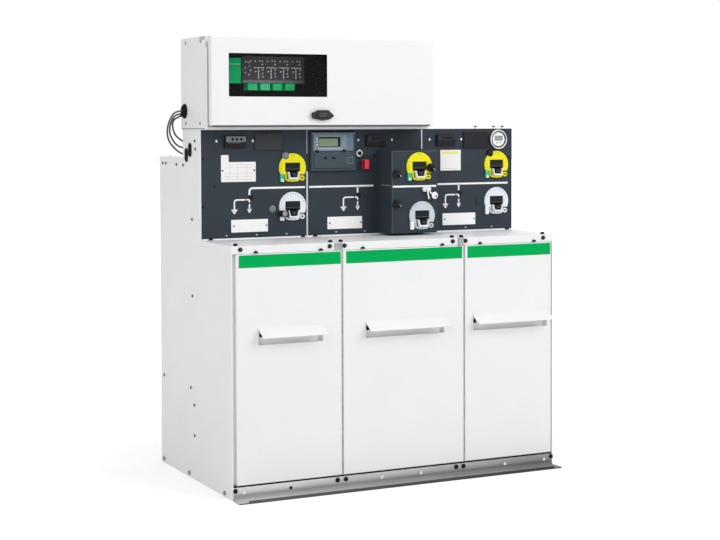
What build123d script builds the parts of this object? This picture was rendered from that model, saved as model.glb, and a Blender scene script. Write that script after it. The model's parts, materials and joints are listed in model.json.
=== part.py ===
from build123d import *
import math
import os

os.makedirs("parts", exist_ok=True)

# Lengths are in mm. Places are measured from the lower left front corner of the body:
# x to the right along the front, y to the back from the door faces, z up from the floor.

# Sheet metal
sheet = 2
plate = 3

# Base rails
rail_height = 39
rail_return = 30
rail_lip = 60
rear_lip = 60
rail_bend_r = 10
lip_height = 9.5
lip_inset = 31
lug_overhang = 2
lug_chamfer = 6
floor_hole_r = 6.5
floor_hole_inset = 14
floor_hole_share = 0.54

# Cable compartments and their doors
gasket_height = 5
gasket_setback = 4
gasket_depth = 16
door_height = 716
door_depth = 24
door_gap = 6
door_left_gap = 12.6
door_right_gap = 3
door_head_gap = 1
door_edge_r = 3
strip_height = 25
compartment_depth = 265.6
post_width = 21
jamb_setback = 14
nose_setback = 4
jamb_clear = 0.5
partition_flange = 30
left_partition_shift = 2.5
right_partition_shift = 16

# Door handles: a hood folded out over a finger pocket
handle_drop = 231
hood_height = 26
hood_reach = 44
hood_foot = 7
left_handle_margin = 72.4
left_handle_tail = 65
middle_handle_margin = 78
middle_handle_tail = 71.5
right_handle_margin = 30
right_handle_tail = 16.5
slot_inset = 1
slot_head = 4
slot_height = 49
slot_depth = 18

# Tank and mechanism housing behind the panels
mechanism_depth = 34.4
tank_depth = 357
tank_height = 718
tank_edge_r = 8
housing_depth = 160.4
rear_step = 91
top_cover_lap = 26
seam_gap = 1.2

# Operating dials, drawn in shares of their radius
dial_r = 48
dial_plate = 6
dial_waist_share = 0.46
dial_tongue_width_share = 1.12
dial_tongue_drop_share = 0.98
dial_tongue_round_share = 0.25
dial_window_width_share = 1.12
dial_window_height_share = 0.58
dial_window_rise_share = 0.06
cup_outline_shares = ((-0.42, -0.27), (0.42, -0.27), (0.29, -0.77), (-0.29, -0.77))
cup_wall = 3
cup_height = 12
cup_floor = 2
ear_r_share = 0.18
ear_place_shares = (0.7, -0.7)
ear_height = 8
tag_width_share = 0.29
tag_height_share = 0.54
tag_place_shares = (-0.78, -0.69)
tag_depth = 7
dial_gap = 31
earth_dial_rise = 55
left_dial_margin = 5.7
right_dial_margin = 13.7

# Header row: voltage indicators, blank covers and gauge
header_gap = 6.5
left_header_margin = 79
right_header_margin = 56.5
left_header_tail = 88.5
indicator_width = 73
indicator_height = 39
indicator_depth = 9
indicator_edge_r = 2
indicator_head = 19.5
indicator_gap = 32.5
middle_indicator_shift = 16.5
cover_width = 99
cover_height = 56
cover_depth = 6
cover_head = 11.4
gauge_r = 34
gauge_depth = 16
gauge_bezel = 5
gauge_recess = 4
gauge_gap = 4.5
gauge_margin = 23.5
gauge_head = 3.5

# Relay
relay_margin = 11
relay_width = 163
relay_height = 128
relay_head = 10
relay_depth = 14
relay_rim = 7
relay_recess = 3
relay_edge_r = 3
screen_width = 79
screen_height = 32
screen_inset = 20
screen_drop = 9
screen_recess = 3
flap_height = 55.5
flap_gap = 1.5
flap_proud = 2

# Trip button and the round socket above it
button_margin = 26.5
button_width = 21
button_height = 32
button_depth = 11
button_gap = 7
button_rise = 4.3
button_edge_r = 2
button_stem_r = 6
button_stem_clear = 0.5
button_stem_length = 24
ring_knob_r = 12.2
ring_knob_rim = 4
ring_knob_length = 12
ring_knob_recess = 3
ring_knob_gap = 8.8
ring_knob_clear = 2.7

# Motor box on the middle panel
motor_margin = 39.9
motor_width = 173.6
motor_depth = 103.6
motor_overhang = 4
motor_rise = 7
motor_edge_r = 4
motor_switch_margin = 22.5
motor_earth_margin = 12.5
motor_earth_rise = 11
lock_width = 30
lock_height = 17
lock_length = 12
lock_margin = 29.3
lock_level_share = 0.59
wing_base_r = 14
wing_base = 8
wing_width = 6
wing_length = 26
wing_height = 14
wing_margin = 4.6
wing_level_shares = (0.36, 0.72)
wing_turn = 35

# Control cabinet on top of the housing
lv_width = 797
lv_depth = 226
lv_height = 298
lv_overhang = 51.6
collar_depth = 24
collar_wall = 8
collar_flange = 24
collar_clear = 2

# Control cabinet door, hung on pins along its top edge
lv_door_depth = 22
lv_door_side_gap = 1
lv_door_sill = 14
lv_door_head_gap = 2
lv_door_edge_r = 3
window_inset = 61
window_width = 341
window_head = 53.5
window_sill = 92.5
window_corner_r = 2
pane_lap = 8
pane = 4
hinge_pin_r = 4
hinge_pin_clear = 0.08
hinge_pin_length = 9
hinge_tab_r = 9
hinge_tab_clear = 2
hinge_drop = 10
hinge_ear_inset = 4
hinge_ear = 3

# Swing latch
latch_place_share = 0.4823
latch_rise = 32
latch_base_r = 16.5
latch_base = 6
latch_gap = 0.6
latch_length = 79
latch_width = 34
latch_thickness = 9
latch_stem_r = 7
latch_stem_clear = 0.08
latch_stem_length = 14

# Inside the control cabinet
unit_inset = 156
unit_width = 230
unit_height = 91
unit_head = 56
unit_setback = 86
unit_edge_r = 3
connector_width = 44
connector_height = 82
connector_depth = 46
connector_rise = 1
connector_round_r = 18
terminal_inset = 24
terminal_width = 33.5
terminal_height = 22
terminal_depth = 36
terminal_pitch = 44.6
terminal_count = 4
terminal_rail = 8

# Rubber plugs and grommet on the left, and the control cables
plug_length = 46
plug_width = 27
plug_height = 4
plug_inset = 35
plug_pitch = 34
plug_drop = 82
plug_step = 17
grommet_r = 24
grommet_length = 10
grommet_inset = 35
grommet_rise = 61
cable_r = 3
cable_sides = 6
bend_share = 0.45
cable_routes = {
    "outer_cable": (
        (-10, 398, 1214), (-28, 398, 1214), (-47, 407, 1204), (-57, 428, 1176), (-56, 458, 1138),
        (-40, 484, 1100), (-12, 492, 1074), (16, 476, 1063), (30, 451, 1062), (30, 426, 1062),
    ),
    "middle_cable": (
        (-10, 406, 1204), (-26, 406, 1204), (-42, 415, 1195), (-49, 436, 1170), (-46, 463, 1136),
        (-28, 484, 1106), (2, 485, 1088), (30, 467, 1082), (44, 445, 1082), (44, 426, 1082),
    ),
    "inner_cable": (
        (-10, 417, 1191), (-27, 417, 1191), (-39.5, 427, 1183), (-40, 448, 1163), (-30, 469, 1139),
        (-8, 481, 1116), (24, 473, 1106), (48, 459, 1102), (58, 442, 1102), (58, 426, 1102),
    ),
}

# Levels
door_bottom = rail_height + gasket_height
door_top = door_bottom + door_height
strip_bottom = door_top + door_head_gap
panel_bottom = strip_bottom + strip_height
earth_z = panel_bottom + earth_dial_rise + dial_r
switch_z = earth_z + dial_r + dial_gap + dial_r
header_z = switch_z + dial_r + header_gap
panel_top = header_z + gauge_r + gauge_r + gauge_head
rear_top = panel_top - rear_step
lv_top = panel_top + lv_height

# Depths
panel_y = compartment_depth
housing_back_y = panel_y + housing_depth
tank_y = panel_y + mechanism_depth
body_depth = tank_y + tank_depth + plate
motor_y = panel_y - motor_depth
lv_y = panel_y - lv_overhang
lv_back_y = lv_y + lv_depth
collar_y = lv_y - collar_depth
lv_door_back_y = collar_y - collar_clear
lv_door_y = lv_door_back_y - lv_door_depth

# Places along the front, built up from what each panel carries
left_indicator_x = plate + left_header_margin
left_cover_x = left_indicator_x + indicator_width + indicator_gap
left_seam_x = left_cover_x + cover_width + left_header_tail
relay_x = left_seam_x + relay_margin
relay_right_x = relay_x + relay_width
button_x = relay_right_x + button_margin
motor_x = button_x + button_width + motor_margin
motor_right_x = motor_x + motor_width
right_seam_x = motor_right_x - motor_overhang
right_indicator_x = right_seam_x + right_header_margin
right_cover_x = right_indicator_x + indicator_width + indicator_gap
gauge_x = right_cover_x + cover_width + gauge_gap + gauge_r
body_width = gauge_x + gauge_r + gauge_margin + plate
left_partition_x = left_seam_x + left_partition_shift
right_partition_x = right_seam_x + right_partition_shift

# The shared frame has its origin on the floor under the middle of the whole object
to_row_frame = Location((-body_width / 2, (rail_lip - body_depth) / 2, 0))


def keep(builder, label):
    placed = builder.part.moved(to_row_frame)
    placed.label = label
    export_step(placed, f"parts/{label}.step")


def middle(span):
    return (span[0] + span[1]) / 2


def length(span):
    return span[1] - span[0]


def block(xs, ys, zs, mode=Mode.ADD):
    with Locations((middle(xs), middle(ys), middle(zs))):
        Box(length(xs), length(ys), length(zs), mode=mode)


def facing(x, y, z):
    return Plane(origin=(x, y, z), x_dir=(1, 0, 0), z_dir=(0, -1, 0))


def front_edges(builder):
    return builder.edges().group_by(Axis.Y)[0]


inner_xs = (plate, body_width - plate)

# Front base rail: upright web bent into a floor lip with a turned-up edge, and a return under the doors
with BuildPart() as front_rail:
    block((-lug_overhang, body_width + lug_overhang), (-rail_lip, -rail_bend_r), (0, plate))
    chamfer(front_rail.edges().filter_by(Axis.Z).group_by(Axis.Y)[0], lug_chamfer)
    with BuildPart(mode=Mode.PRIVATE) as bend:
        block(inner_xs, (0, plate), (0, rail_height))
        block(inner_xs, (-rail_lip / 2, 0), (0, plate))
        inner_corner = bend.edges().filter_by(Axis.X).filter_by_position(Axis.Y, 0, 0).sort_by(Axis.Z)[0]
        fillet(inner_corner, rail_bend_r)
    add(bend.part)
    block(inner_xs, (0, rail_return), (rail_height - plate, rail_height))
    block((lip_inset, body_width - lip_inset), (-rail_lip, -rail_lip + plate), (0, lip_height))
    with BuildSketch(Plane.XY):
        for hole_x in (floor_hole_inset, body_width - floor_hole_inset):
            with Locations((hole_x, -rail_lip * floor_hole_share)):
                Circle(floor_hole_r)
    extrude(amount=plate, mode=Mode.SUBTRACT)
keep(front_rail, "front_rail")

# Rear base rail: the same channel turned inwards
with BuildPart() as rear_rail:
    block(inner_xs, (body_depth - rear_lip, body_depth), (0, plate))
    block(inner_xs, (body_depth - plate, body_depth), (0, rail_height))
    block(inner_xs, (body_depth - rail_return, body_depth), (rail_height - plate, rail_height))
    with BuildSketch(Plane.XY):
        for hole_x in (floor_hole_inset, body_width - floor_hole_inset):
            with Locations((hole_x, body_depth - rear_lip * floor_hole_share)):
                Circle(floor_hole_r)
    extrude(amount=plate, mode=Mode.SUBTRACT)
keep(rear_rail, "rear_rail")

# Black sealing strip between the front rail and the doors
with BuildPart() as base_gasket:
    gasket_ys = (gasket_setback, gasket_setback + gasket_depth)
    block(inner_xs, gasket_ys, (rail_height, rail_height + gasket_height))
keep(base_gasket, "base_gasket")

# Side panels: one stepped sheet each, with a post flange behind the doors and a jamb beside them
side_outline = (
    (0, 0),
    (body_depth, 0),
    (body_depth, rear_top),
    (housing_back_y, rear_top),
    (housing_back_y, panel_top),
    (panel_y, panel_top),
    (panel_y, panel_bottom),
    (0, panel_bottom),
)
right_inside_x = body_width - plate
side_places = {
    "left_side_panel": (0, plate, 1, door_left_gap),
    "right_side_panel": (right_inside_x, right_inside_x, -1, door_right_gap),
}
post_ys = (door_depth, door_depth + plate)
jamb_ys = (jamb_setback, door_depth)
nose_ys = (nose_setback, door_depth)
wall_zs = (rail_height, panel_bottom - plate)
jamb_zs = (door_bottom, panel_bottom - plate)
for label, (side_x, inside_x, inwards, gap) in side_places.items():
    with BuildPart() as side_panel:
        with BuildSketch(Plane.YZ.offset(side_x)):
            with BuildLine():
                Polyline(*side_outline, close=True)
            make_face()
        extrude(amount=plate)
        block(sorted((inside_x, inside_x + inwards * post_width)), post_ys, wall_zs)
        block(sorted((inside_x, inside_x + inwards * (gap - jamb_clear))), jamb_ys, jamb_zs)
    keep(side_panel, label)

# Partitions between the cable compartments, each with a flange that its doors close against
partition_places = {"left_partition": left_partition_x, "right_partition": right_partition_x}
for label, partition_x in partition_places.items():
    with BuildPart() as partition:
        block((partition_x - plate / 2, partition_x + plate / 2), (door_depth, tank_y), wall_zs)
        block((partition_x - partition_flange / 2, partition_x + partition_flange / 2), post_ys, wall_zs)
        nose_half = door_gap / 2 - jamb_clear
        block((partition_x - nose_half, partition_x + nose_half), nose_ys, jamb_zs)
    keep(partition, label)

# Cable compartment top with the strip folded down over the doors
with BuildPart() as compartment_top:
    block(inner_xs, (0, panel_y), (panel_bottom - plate, panel_bottom))
    block(inner_xs, (0, plate), (strip_bottom, panel_bottom))
keep(compartment_top, "compartment_top")

# Sealed tank, rear panel and top cover
tank_zs = (rear_top - plate - tank_height, rear_top - plate)
with BuildPart() as tank:
    block(inner_xs, (tank_y, body_depth - plate), tank_zs)
    fillet(tank.edges().filter_by(Axis.X).group_by(Axis.Z)[0], tank_edge_r)
keep(tank, "tank")

with BuildPart() as rear_panel:
    block(inner_xs, (body_depth - plate, body_depth), (rail_height, rear_top))
keep(rear_panel, "rear_panel")

with BuildPart() as top_cover:
    block(inner_xs, (housing_back_y - top_cover_lap, body_depth - plate), (rear_top - plate, rear_top))
keep(top_cover, "top_cover")

# Mechanism housing: top and back sheets
with BuildPart() as housing_top:
    block(inner_xs, (panel_y + plate, housing_back_y), (panel_top - plate, panel_top))
keep(housing_top, "housing_top")

with BuildPart() as housing_back:
    block(inner_xs, (housing_back_y - plate, housing_back_y), (rear_top, panel_top - plate))
keep(housing_back, "housing_back")

# Cable compartment doors: folded trays with a finger pocket behind each handle hood
door_places = {
    "left": (plate + door_left_gap, left_partition_x - door_gap / 2),
    "middle": (left_partition_x + door_gap / 2, right_partition_x - door_gap / 2),
    "right": (right_partition_x + door_gap / 2, right_inside_x - door_right_gap),
}
handle_margins = {
    "left": (left_handle_margin, left_handle_tail),
    "middle": (middle_handle_margin, middle_handle_tail),
    "right": (right_handle_margin, right_handle_tail),
}
hood_top = door_top - handle_drop
slot_top = hood_top - slot_head
hood_outline = (
    (0, hood_top),
    (-hood_reach, hood_top - hood_height),
    (-hood_reach, hood_top - hood_height - sheet),
    (0, hood_top - hood_foot),
)
slot_zs = (slot_top - slot_height, slot_top)
pocket_zs = (slot_zs[0] - sheet, slot_zs[1] + sheet)
for name, (door_x, door_right_x) in door_places.items():
    handle_xs = (door_x + handle_margins[name][0], door_right_x - handle_margins[name][1])
    with BuildPart() as door:
        block((door_x, door_right_x), (0, door_depth), (door_bottom, door_top))
        fillet(front_edges(door), door_edge_r)
        hollow_zs = (door_bottom + sheet, door_top - sheet)
        block((door_x + sheet, door_right_x - sheet), (sheet, door_depth), hollow_zs, Mode.SUBTRACT)
        slot_xs = (handle_xs[0] + slot_inset, handle_xs[1] - slot_inset)
        block((slot_xs[0] - sheet, slot_xs[1] + sheet), (sheet, slot_depth + sheet), pocket_zs)
        block(slot_xs, (0, slot_depth), slot_zs, Mode.SUBTRACT)
    keep(door, f"{name}_door")

    with BuildPart() as handle:
        with BuildSketch(Plane.YZ.offset(handle_xs[0])):
            with BuildLine():
                Polyline(*hood_outline, close=True)
            make_face()
        extrude(amount=length(handle_xs))
    keep(handle, f"{name}_door_handle")

# Mimic panels, the middle one bored for the stem of the trip button
panel_places = {
    "left_mimic_panel": (plate, left_seam_x - seam_gap / 2),
    "middle_mimic_panel": (left_seam_x + seam_gap / 2, right_seam_x - seam_gap / 2),
    "right_mimic_panel": (right_seam_x + seam_gap / 2, body_width - plate),
}
relay_zs = (panel_top - relay_head - relay_height, panel_top - relay_head)
button_zs = (relay_zs[0] + button_rise, relay_zs[0] + button_rise + button_height)
button_mid_x = button_x + button_width / 2
for label, panel_xs in panel_places.items():
    with BuildPart() as mimic_panel:
        block(panel_xs, (panel_y, panel_y + plate), (panel_bottom, panel_top))
        if label == "middle_mimic_panel":
            with BuildSketch(facing(button_mid_x, panel_y, middle(button_zs))):
                Circle(button_stem_r + button_stem_clear)
            extrude(amount=-plate, mode=Mode.SUBTRACT)
    keep(mimic_panel, label)

# Motor box with two winged knobs on its front
motor_zs = (panel_bottom + motor_rise, header_z)
with BuildPart() as motor_box:
    block((motor_x, motor_right_x), (motor_y, panel_y), motor_zs)
    fillet(front_edges(motor_box), motor_edge_r)
    for share in wing_level_shares:
        wing_z = motor_zs[0] + length(motor_zs) * share
        wing_face = facing(motor_x + wing_margin + wing_base_r, motor_y, wing_z)
        with BuildSketch(wing_face):
            Circle(wing_base_r)
        extrude(amount=wing_base)
        with BuildSketch(wing_face.rotated((0, 0, wing_turn))):
            Rectangle(wing_length, wing_width)
        extrude(amount=wing_base + wing_height)
keep(motor_box, "motor_box")

# Operating dials: horseshoe plate with an indicator window, lever cup, padlock ear and tag
motor_earth_z = motor_zs[0] + motor_earth_rise + dial_r
dial_places = {
    "left_switch_dial": (left_seam_x - left_dial_margin - dial_r, panel_y, switch_z),
    "left_earth_dial": (left_seam_x - left_dial_margin - dial_r, panel_y, earth_z),
    "middle_switch_dial": (motor_right_x - motor_switch_margin - dial_r, motor_y, switch_z),
    "middle_earth_dial": (motor_right_x - motor_earth_margin - dial_r, motor_y, motor_earth_z),
    "right_switch_dial": (right_inside_x - right_dial_margin - dial_r, panel_y, switch_z),
    "right_earth_dial": (right_inside_x - right_dial_margin - dial_r, panel_y, earth_z),
}
dial_width = dial_r + dial_r
tongue_drop = dial_r * dial_tongue_drop_share
ear_place = tuple(dial_r * share for share in ear_place_shares)
tag_place = tuple(dial_r * share for share in tag_place_shares)
cup_outline = [(dial_r * x_share, dial_r * z_share) for x_share, z_share in cup_outline_shares]
for label, place in dial_places.items():
    face = facing(*place)
    with BuildPart() as dial:
        with BuildSketch(face):
            Circle(dial_r)
            with Locations((0, -dial_r * dial_waist_share - dial_r)):
                Rectangle(dial_width, dial_width, mode=Mode.SUBTRACT)
            with Locations((0, -tongue_drop / 2)):
                tongue_width = dial_r * dial_tongue_width_share
                RectangleRounded(tongue_width, tongue_drop, dial_r * dial_tongue_round_share)
            with Locations((0, dial_r * dial_window_rise_share)):
                opening = (dial_r * dial_window_width_share, dial_r * dial_window_height_share)
                Rectangle(*opening, mode=Mode.SUBTRACT)
        extrude(amount=dial_plate)
        with BuildSketch(face):
            with Locations(tag_place):
                Rectangle(dial_r * tag_width_share, dial_r * tag_height_share)
        extrude(amount=tag_depth)
        with BuildSketch(face):
            with Locations(ear_place):
                Circle(dial_r * ear_r_share)
        extrude(amount=ear_height)
        with BuildSketch(face):
            with BuildLine():
                Polyline(*cup_outline, close=True)
            make_face()
        extrude(amount=dial_plate + cup_height)
        with BuildSketch(face.offset(cup_floor)):
            with BuildLine():
                Polyline(*cup_outline, close=True)
            make_face()
            offset(amount=-cup_wall, mode=Mode.REPLACE)
        extrude(amount=dial_plate + cup_height, mode=Mode.SUBTRACT)
    keep(dial, label)

# Protection relay: frame, recessed face with a screen well, and the lower flap
relay_y = panel_y - relay_depth
face_xs = (relay_x + relay_rim, relay_right_x - relay_rim)
face_zs = (relay_zs[0] + relay_rim, relay_zs[1] - relay_rim)
screen_xs = (face_xs[0] + screen_inset, face_xs[0] + screen_inset + screen_width)
screen_zs = (face_zs[1] - screen_drop - screen_height, face_zs[1] - screen_drop)
with BuildPart() as relay:
    block((relay_x, relay_right_x), (relay_y, panel_y), relay_zs)
    fillet(front_edges(relay), relay_edge_r)
    block(face_xs, (relay_y, relay_y + relay_recess), face_zs, Mode.SUBTRACT)
    block(screen_xs, (relay_y, relay_y + relay_recess + screen_recess), screen_zs, Mode.SUBTRACT)
keep(relay, "relay")

with BuildPart() as relay_flap:
    flap_zs = (face_zs[0] + flap_gap, face_zs[0] + flap_gap + flap_height)
    flap_ys = (relay_y - flap_proud, relay_y + relay_recess)
    block((face_xs[0] + flap_gap, face_xs[1] - flap_gap), flap_ys, flap_zs)
    fillet(front_edges(relay_flap), flap_gap)
keep(relay_flap, "relay_flap")

# Trip button on a stem through the middle panel
button_back_y = panel_y - button_gap
with BuildPart() as trip_button:
    block((button_x, button_x + button_width), (button_back_y - button_depth, button_back_y), button_zs)
    fillet(front_edges(trip_button), button_edge_r)
    with BuildSketch(facing(button_mid_x, button_back_y, middle(button_zs))):
        Circle(button_stem_r)
    extrude(amount=-button_stem_length)
keep(trip_button, "trip_button")

# Ring knob beside the relay, dished in its middle
ring_knob_x = relay_right_x + ring_knob_clear + ring_knob_r
ring_knob_z = button_zs[1] + ring_knob_gap + ring_knob_r
with BuildPart() as ring_knob:
    with BuildSketch(facing(ring_knob_x, panel_y, ring_knob_z)):
        Circle(ring_knob_r)
    extrude(amount=ring_knob_length)
    with BuildSketch(facing(ring_knob_x, panel_y - ring_knob_length, ring_knob_z)):
        Circle(ring_knob_r - ring_knob_rim)
    extrude(amount=-ring_knob_recess, mode=Mode.SUBTRACT)
keep(ring_knob, "ring_knob")

# Voltage indicators
indicator_places = {
    "left_voltage_indicator": left_indicator_x,
    "middle_voltage_indicator": button_x + middle_indicator_shift,
    "right_voltage_indicator": right_indicator_x,
}
indicator_zs = (panel_top - indicator_head - indicator_height, panel_top - indicator_head)
indicator_y = panel_y - indicator_depth
for label, indicator_x in indicator_places.items():
    with BuildPart() as indicator:
        block((indicator_x, indicator_x + indicator_width), (indicator_y, panel_y), indicator_zs)
        fillet(front_edges(indicator), indicator_edge_r)
    keep(indicator, label)

# Blank covers beside the indicators
cover_zs = (panel_top - cover_head - cover_height, panel_top - cover_head)
for label, cover_x in {"left_blank_cover": left_cover_x, "right_blank_cover": right_cover_x}.items():
    with BuildPart() as blank_cover:
        block((cover_x, cover_x + cover_width), (panel_y - cover_depth, panel_y), cover_zs)
        fillet(front_edges(blank_cover), indicator_edge_r)
    keep(blank_cover, label)

# Gas pressure gauge
gauge_z = panel_top - gauge_head - gauge_r
with BuildPart() as gauge:
    with BuildSketch(facing(gauge_x, panel_y, gauge_z)):
        Circle(gauge_r)
    extrude(amount=gauge_depth)
    with BuildSketch(facing(gauge_x, panel_y - gauge_depth, gauge_z)):
        Circle(gauge_r - gauge_bezel)
    extrude(amount=-gauge_recess, mode=Mode.SUBTRACT)
keep(gauge, "pressure_gauge")

# Key lock on the motor box, between its two dials
lock_x = motor_right_x - lock_margin - lock_width / 2
lock_gap = switch_z - dial_r - motor_earth_z - dial_r
lock_z = motor_earth_z + dial_r + lock_gap * lock_level_share
with BuildPart() as key_lock:
    with BuildSketch(facing(lock_x, motor_y, lock_z)):
        SlotOverall(lock_width, lock_height)
    extrude(amount=lock_length)
keep(key_lock, "key_lock")

# Control cabinet: cheeks with hinge tabs and pins
lv_door_zs = (panel_top + lv_door_sill, lv_top - lv_door_head_gap)
hinge_y = lv_door_back_y + hinge_tab_clear + hinge_tab_r
hinge_z = lv_door_zs[1] - hinge_drop
for label, (cheek_x, inwards) in {"lv_left_cheek": (0, 1), "lv_right_cheek": (lv_width, -1)}.items():
    with BuildPart() as cheek:
        with BuildSketch(Plane.YZ.offset(cheek_x)):
            with Locations((middle((lv_y, lv_back_y)), middle((panel_top, lv_top)))):
                Rectangle(lv_depth, lv_height)
            with Locations((hinge_y, hinge_z)):
                Circle(hinge_tab_r)
            with Locations((middle((hinge_y, lv_y)), hinge_z)):
                Rectangle(lv_y - hinge_y, hinge_tab_r + hinge_tab_r)
        extrude(amount=inwards * sheet)
        with BuildSketch(Plane.YZ.offset(cheek_x + inwards * sheet)):
            with Locations((hinge_y, hinge_z)):
                Circle(hinge_pin_r)
        extrude(amount=inwards * hinge_pin_length)
    keep(cheek, label)

lv_inner_xs = (sheet, lv_width - sheet)
lv_inner_zs = (panel_top + sheet, lv_top - sheet)
with BuildPart() as cabinet_top:
    block(lv_inner_xs, (lv_y, lv_back_y), (lv_top - sheet, lv_top))
keep(cabinet_top, "lv_top")

with BuildPart() as cabinet_bottom:
    block(lv_inner_xs, (lv_y, lv_back_y), (panel_top, panel_top + sheet))
keep(cabinet_bottom, "lv_bottom")

with BuildPart() as cabinet_back:
    block(lv_inner_xs, (lv_back_y - sheet, lv_back_y), lv_inner_zs)
keep(cabinet_back, "lv_back")

# Sealing collar around the cabinet mouth
mouth_xs = (collar_flange, lv_width - collar_flange)
mouth_zs = (lv_inner_zs[0] + collar_flange, lv_inner_zs[1] - collar_flange)
with BuildPart() as collar:
    block(lv_inner_xs, (lv_y, lv_y + sheet), lv_inner_zs)
    rim_xs = (mouth_xs[0] - collar_wall, mouth_xs[1] + collar_wall)
    block(rim_xs, (collar_y, lv_y), (mouth_zs[0] - collar_wall, mouth_zs[1] + collar_wall))
    block(mouth_xs, (collar_y, lv_y + sheet), mouth_zs, Mode.SUBTRACT)
keep(collar, "lv_collar")

# Cabinet door: folded tray with a window and two ears that turn on the pins
lv_door_xs = (lv_door_side_gap, lv_width - lv_door_side_gap)
window_xs = (lv_door_xs[0] + window_inset, lv_door_xs[0] + window_inset + window_width)
window_zs = (lv_door_zs[0] + window_sill, lv_door_zs[1] - window_head)
ear_xs = (sheet + hinge_ear_inset, lv_width - sheet - hinge_ear_inset - hinge_ear)
ear_zs = (hinge_z - hinge_tab_r, lv_door_zs[1] - sheet)
latch_x = lv_door_xs[0] + length(lv_door_xs) * latch_place_share
latch_z = lv_door_zs[0] + latch_rise
with BuildPart() as lv_door:
    block(lv_door_xs, (lv_door_y, lv_door_back_y), lv_door_zs)
    fillet(front_edges(lv_door), lv_door_edge_r)
    hollow_xs = (lv_door_xs[0] + sheet, lv_door_xs[1] - sheet)
    hollow_zs = (lv_door_zs[0] + sheet, lv_door_zs[1] - sheet)
    block(hollow_xs, (lv_door_y + sheet, lv_door_back_y), hollow_zs, Mode.SUBTRACT)
    with BuildSketch(facing(middle(window_xs), lv_door_y, middle(window_zs))):
        RectangleRounded(length(window_xs), length(window_zs), window_corner_r)
    extrude(amount=-sheet, mode=Mode.SUBTRACT)
    with BuildSketch(facing(latch_x, lv_door_y, latch_z)):
        Circle(latch_stem_r + latch_stem_clear)
    extrude(amount=-sheet, mode=Mode.SUBTRACT)
    for ear_x in ear_xs:
        with BuildSketch(Plane.YZ.offset(ear_x)):
            with Locations((hinge_y, hinge_z)):
                Circle(hinge_tab_r)
            with Locations((middle((lv_door_y + sheet, hinge_y)), middle(ear_zs))):
                Rectangle(hinge_y - lv_door_y - sheet, length(ear_zs))
            with Locations((hinge_y, hinge_z)):
                Circle(hinge_pin_r + hinge_pin_clear, mode=Mode.SUBTRACT)
        extrude(amount=hinge_ear)
keep(lv_door, "lv_door")

with BuildPart() as lv_window:
    pane_xs = (window_xs[0] - pane_lap, window_xs[1] + pane_lap)
    pane_zs = (window_zs[0] - pane_lap, window_zs[1] + pane_lap)
    block(pane_xs, (lv_door_y + sheet, lv_door_y + sheet + pane), pane_zs)
keep(lv_window, "lv_window")

# Swing latch: round base and an oval arm on a stem through the door
base_face = facing(latch_x, lv_door_y - latch_gap, latch_z)
with BuildPart() as latch:
    with BuildSketch(base_face):
        Circle(latch_base_r)
    extrude(amount=latch_base)
    with BuildSketch(base_face.offset(latch_base)):
        SlotOverall(latch_length, latch_width)
    extrude(amount=latch_thickness)
    with BuildSketch(base_face):
        Circle(latch_stem_r)
    extrude(amount=-latch_stem_length)
keep(latch, "lv_latch")

# Control unit, connector and terminals behind the window
unit_y = lv_y + unit_setback
unit_zs = (lv_top - unit_head - unit_height, lv_top - unit_head)
with BuildPart() as unit:
    block((unit_inset, unit_inset + unit_width), (unit_y, lv_back_y - sheet), unit_zs)
    fillet(front_edges(unit), unit_edge_r)
keep(unit, "lv_control_unit")

connector_bottom = unit_zs[0] + connector_rise
with BuildPart() as connector:
    connector_zs = (connector_bottom, connector_bottom + connector_height)
    block((unit_inset - connector_width, unit_inset), (unit_y, unit_y + connector_depth), connector_zs)
    top_edges = connector.edges().filter_by(Axis.Y).group_by(Axis.Z)[-1]
    fillet(top_edges.sort_by(Axis.X)[0], connector_round_r)
keep(connector, "lv_connector")

terminal_x = unit_inset + terminal_inset
terminal_back_y = unit_y + terminal_depth
terminal_zs = (unit_zs[0] - terminal_height, unit_zs[0])
with BuildPart() as terminals:
    for place in range(terminal_count):
        left_x = terminal_x + place * terminal_pitch
        block((left_x, left_x + terminal_width), (unit_y, terminal_back_y), terminal_zs)
    strip_xs = (terminal_x, terminal_x + (terminal_count - 1) * terminal_pitch + terminal_width)
    block(strip_xs, (terminal_back_y - terminal_rail, terminal_back_y), terminal_zs)
keep(terminals, "lv_terminals")

# Oval rubber plugs in the left side panel, beside the mechanism
plug_y = housing_back_y - plug_inset
plug_z = panel_top - plug_drop
plug_places = {
    "rear_oval_plug": (plug_y, plug_z),
    "front_oval_plug": (plug_y - plug_pitch, plug_z + plug_step),
}
for label, place in plug_places.items():
    with BuildPart() as oval_plug:
        with BuildSketch(Plane.YZ):
            with Locations(place):
                SlotOverall(plug_length, plug_width, rotation=90)
        extrude(amount=-plug_height)
    keep(oval_plug, label)

# Grommet on the left cheek
grommet_place = (lv_back_y - grommet_inset, panel_top + grommet_rise)
with BuildPart() as grommet:
    with BuildSketch(Plane.YZ):
        with Locations(grommet_place):
            Circle(grommet_r)
    extrude(amount=-grommet_length)
keep(grommet, "lv_grommet")


def bend_radii(points):
    radii = []
    for before, corner, after in zip(points, points[1:], points[2:]):
        come = Vector(*corner) - Vector(*before)
        go = Vector(*after) - Vector(*corner)
        half_turn = math.radians(come.get_angle(go)) / 2
        radii.append(bend_share * min(come.length, go.length) / math.tan(half_turn))
    return radii


# Control cables from the grommet round to the back of the housing
for label, route in cable_routes.items():
    radii = bend_radii(route)
    with BuildPart() as cable:
        with BuildLine() as path:
            FilletPolyline(*route, radius=radii)
        with BuildSketch(Plane(origin=path.line @ 0, z_dir=path.line % 0)):
            RegularPolygon(cable_r, cable_sides)
        sweep(transition=Transition.RIGHT)
    run = sum(edge.length for edge in path.edges())
    print(label, "length", round(run, 1), "bend radii", [round(radius, 1) for radius in radii])
    keep(cable, label)
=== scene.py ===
import json
import math

import bmesh
import bpy
from mathutils import Matrix, Vector


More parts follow.
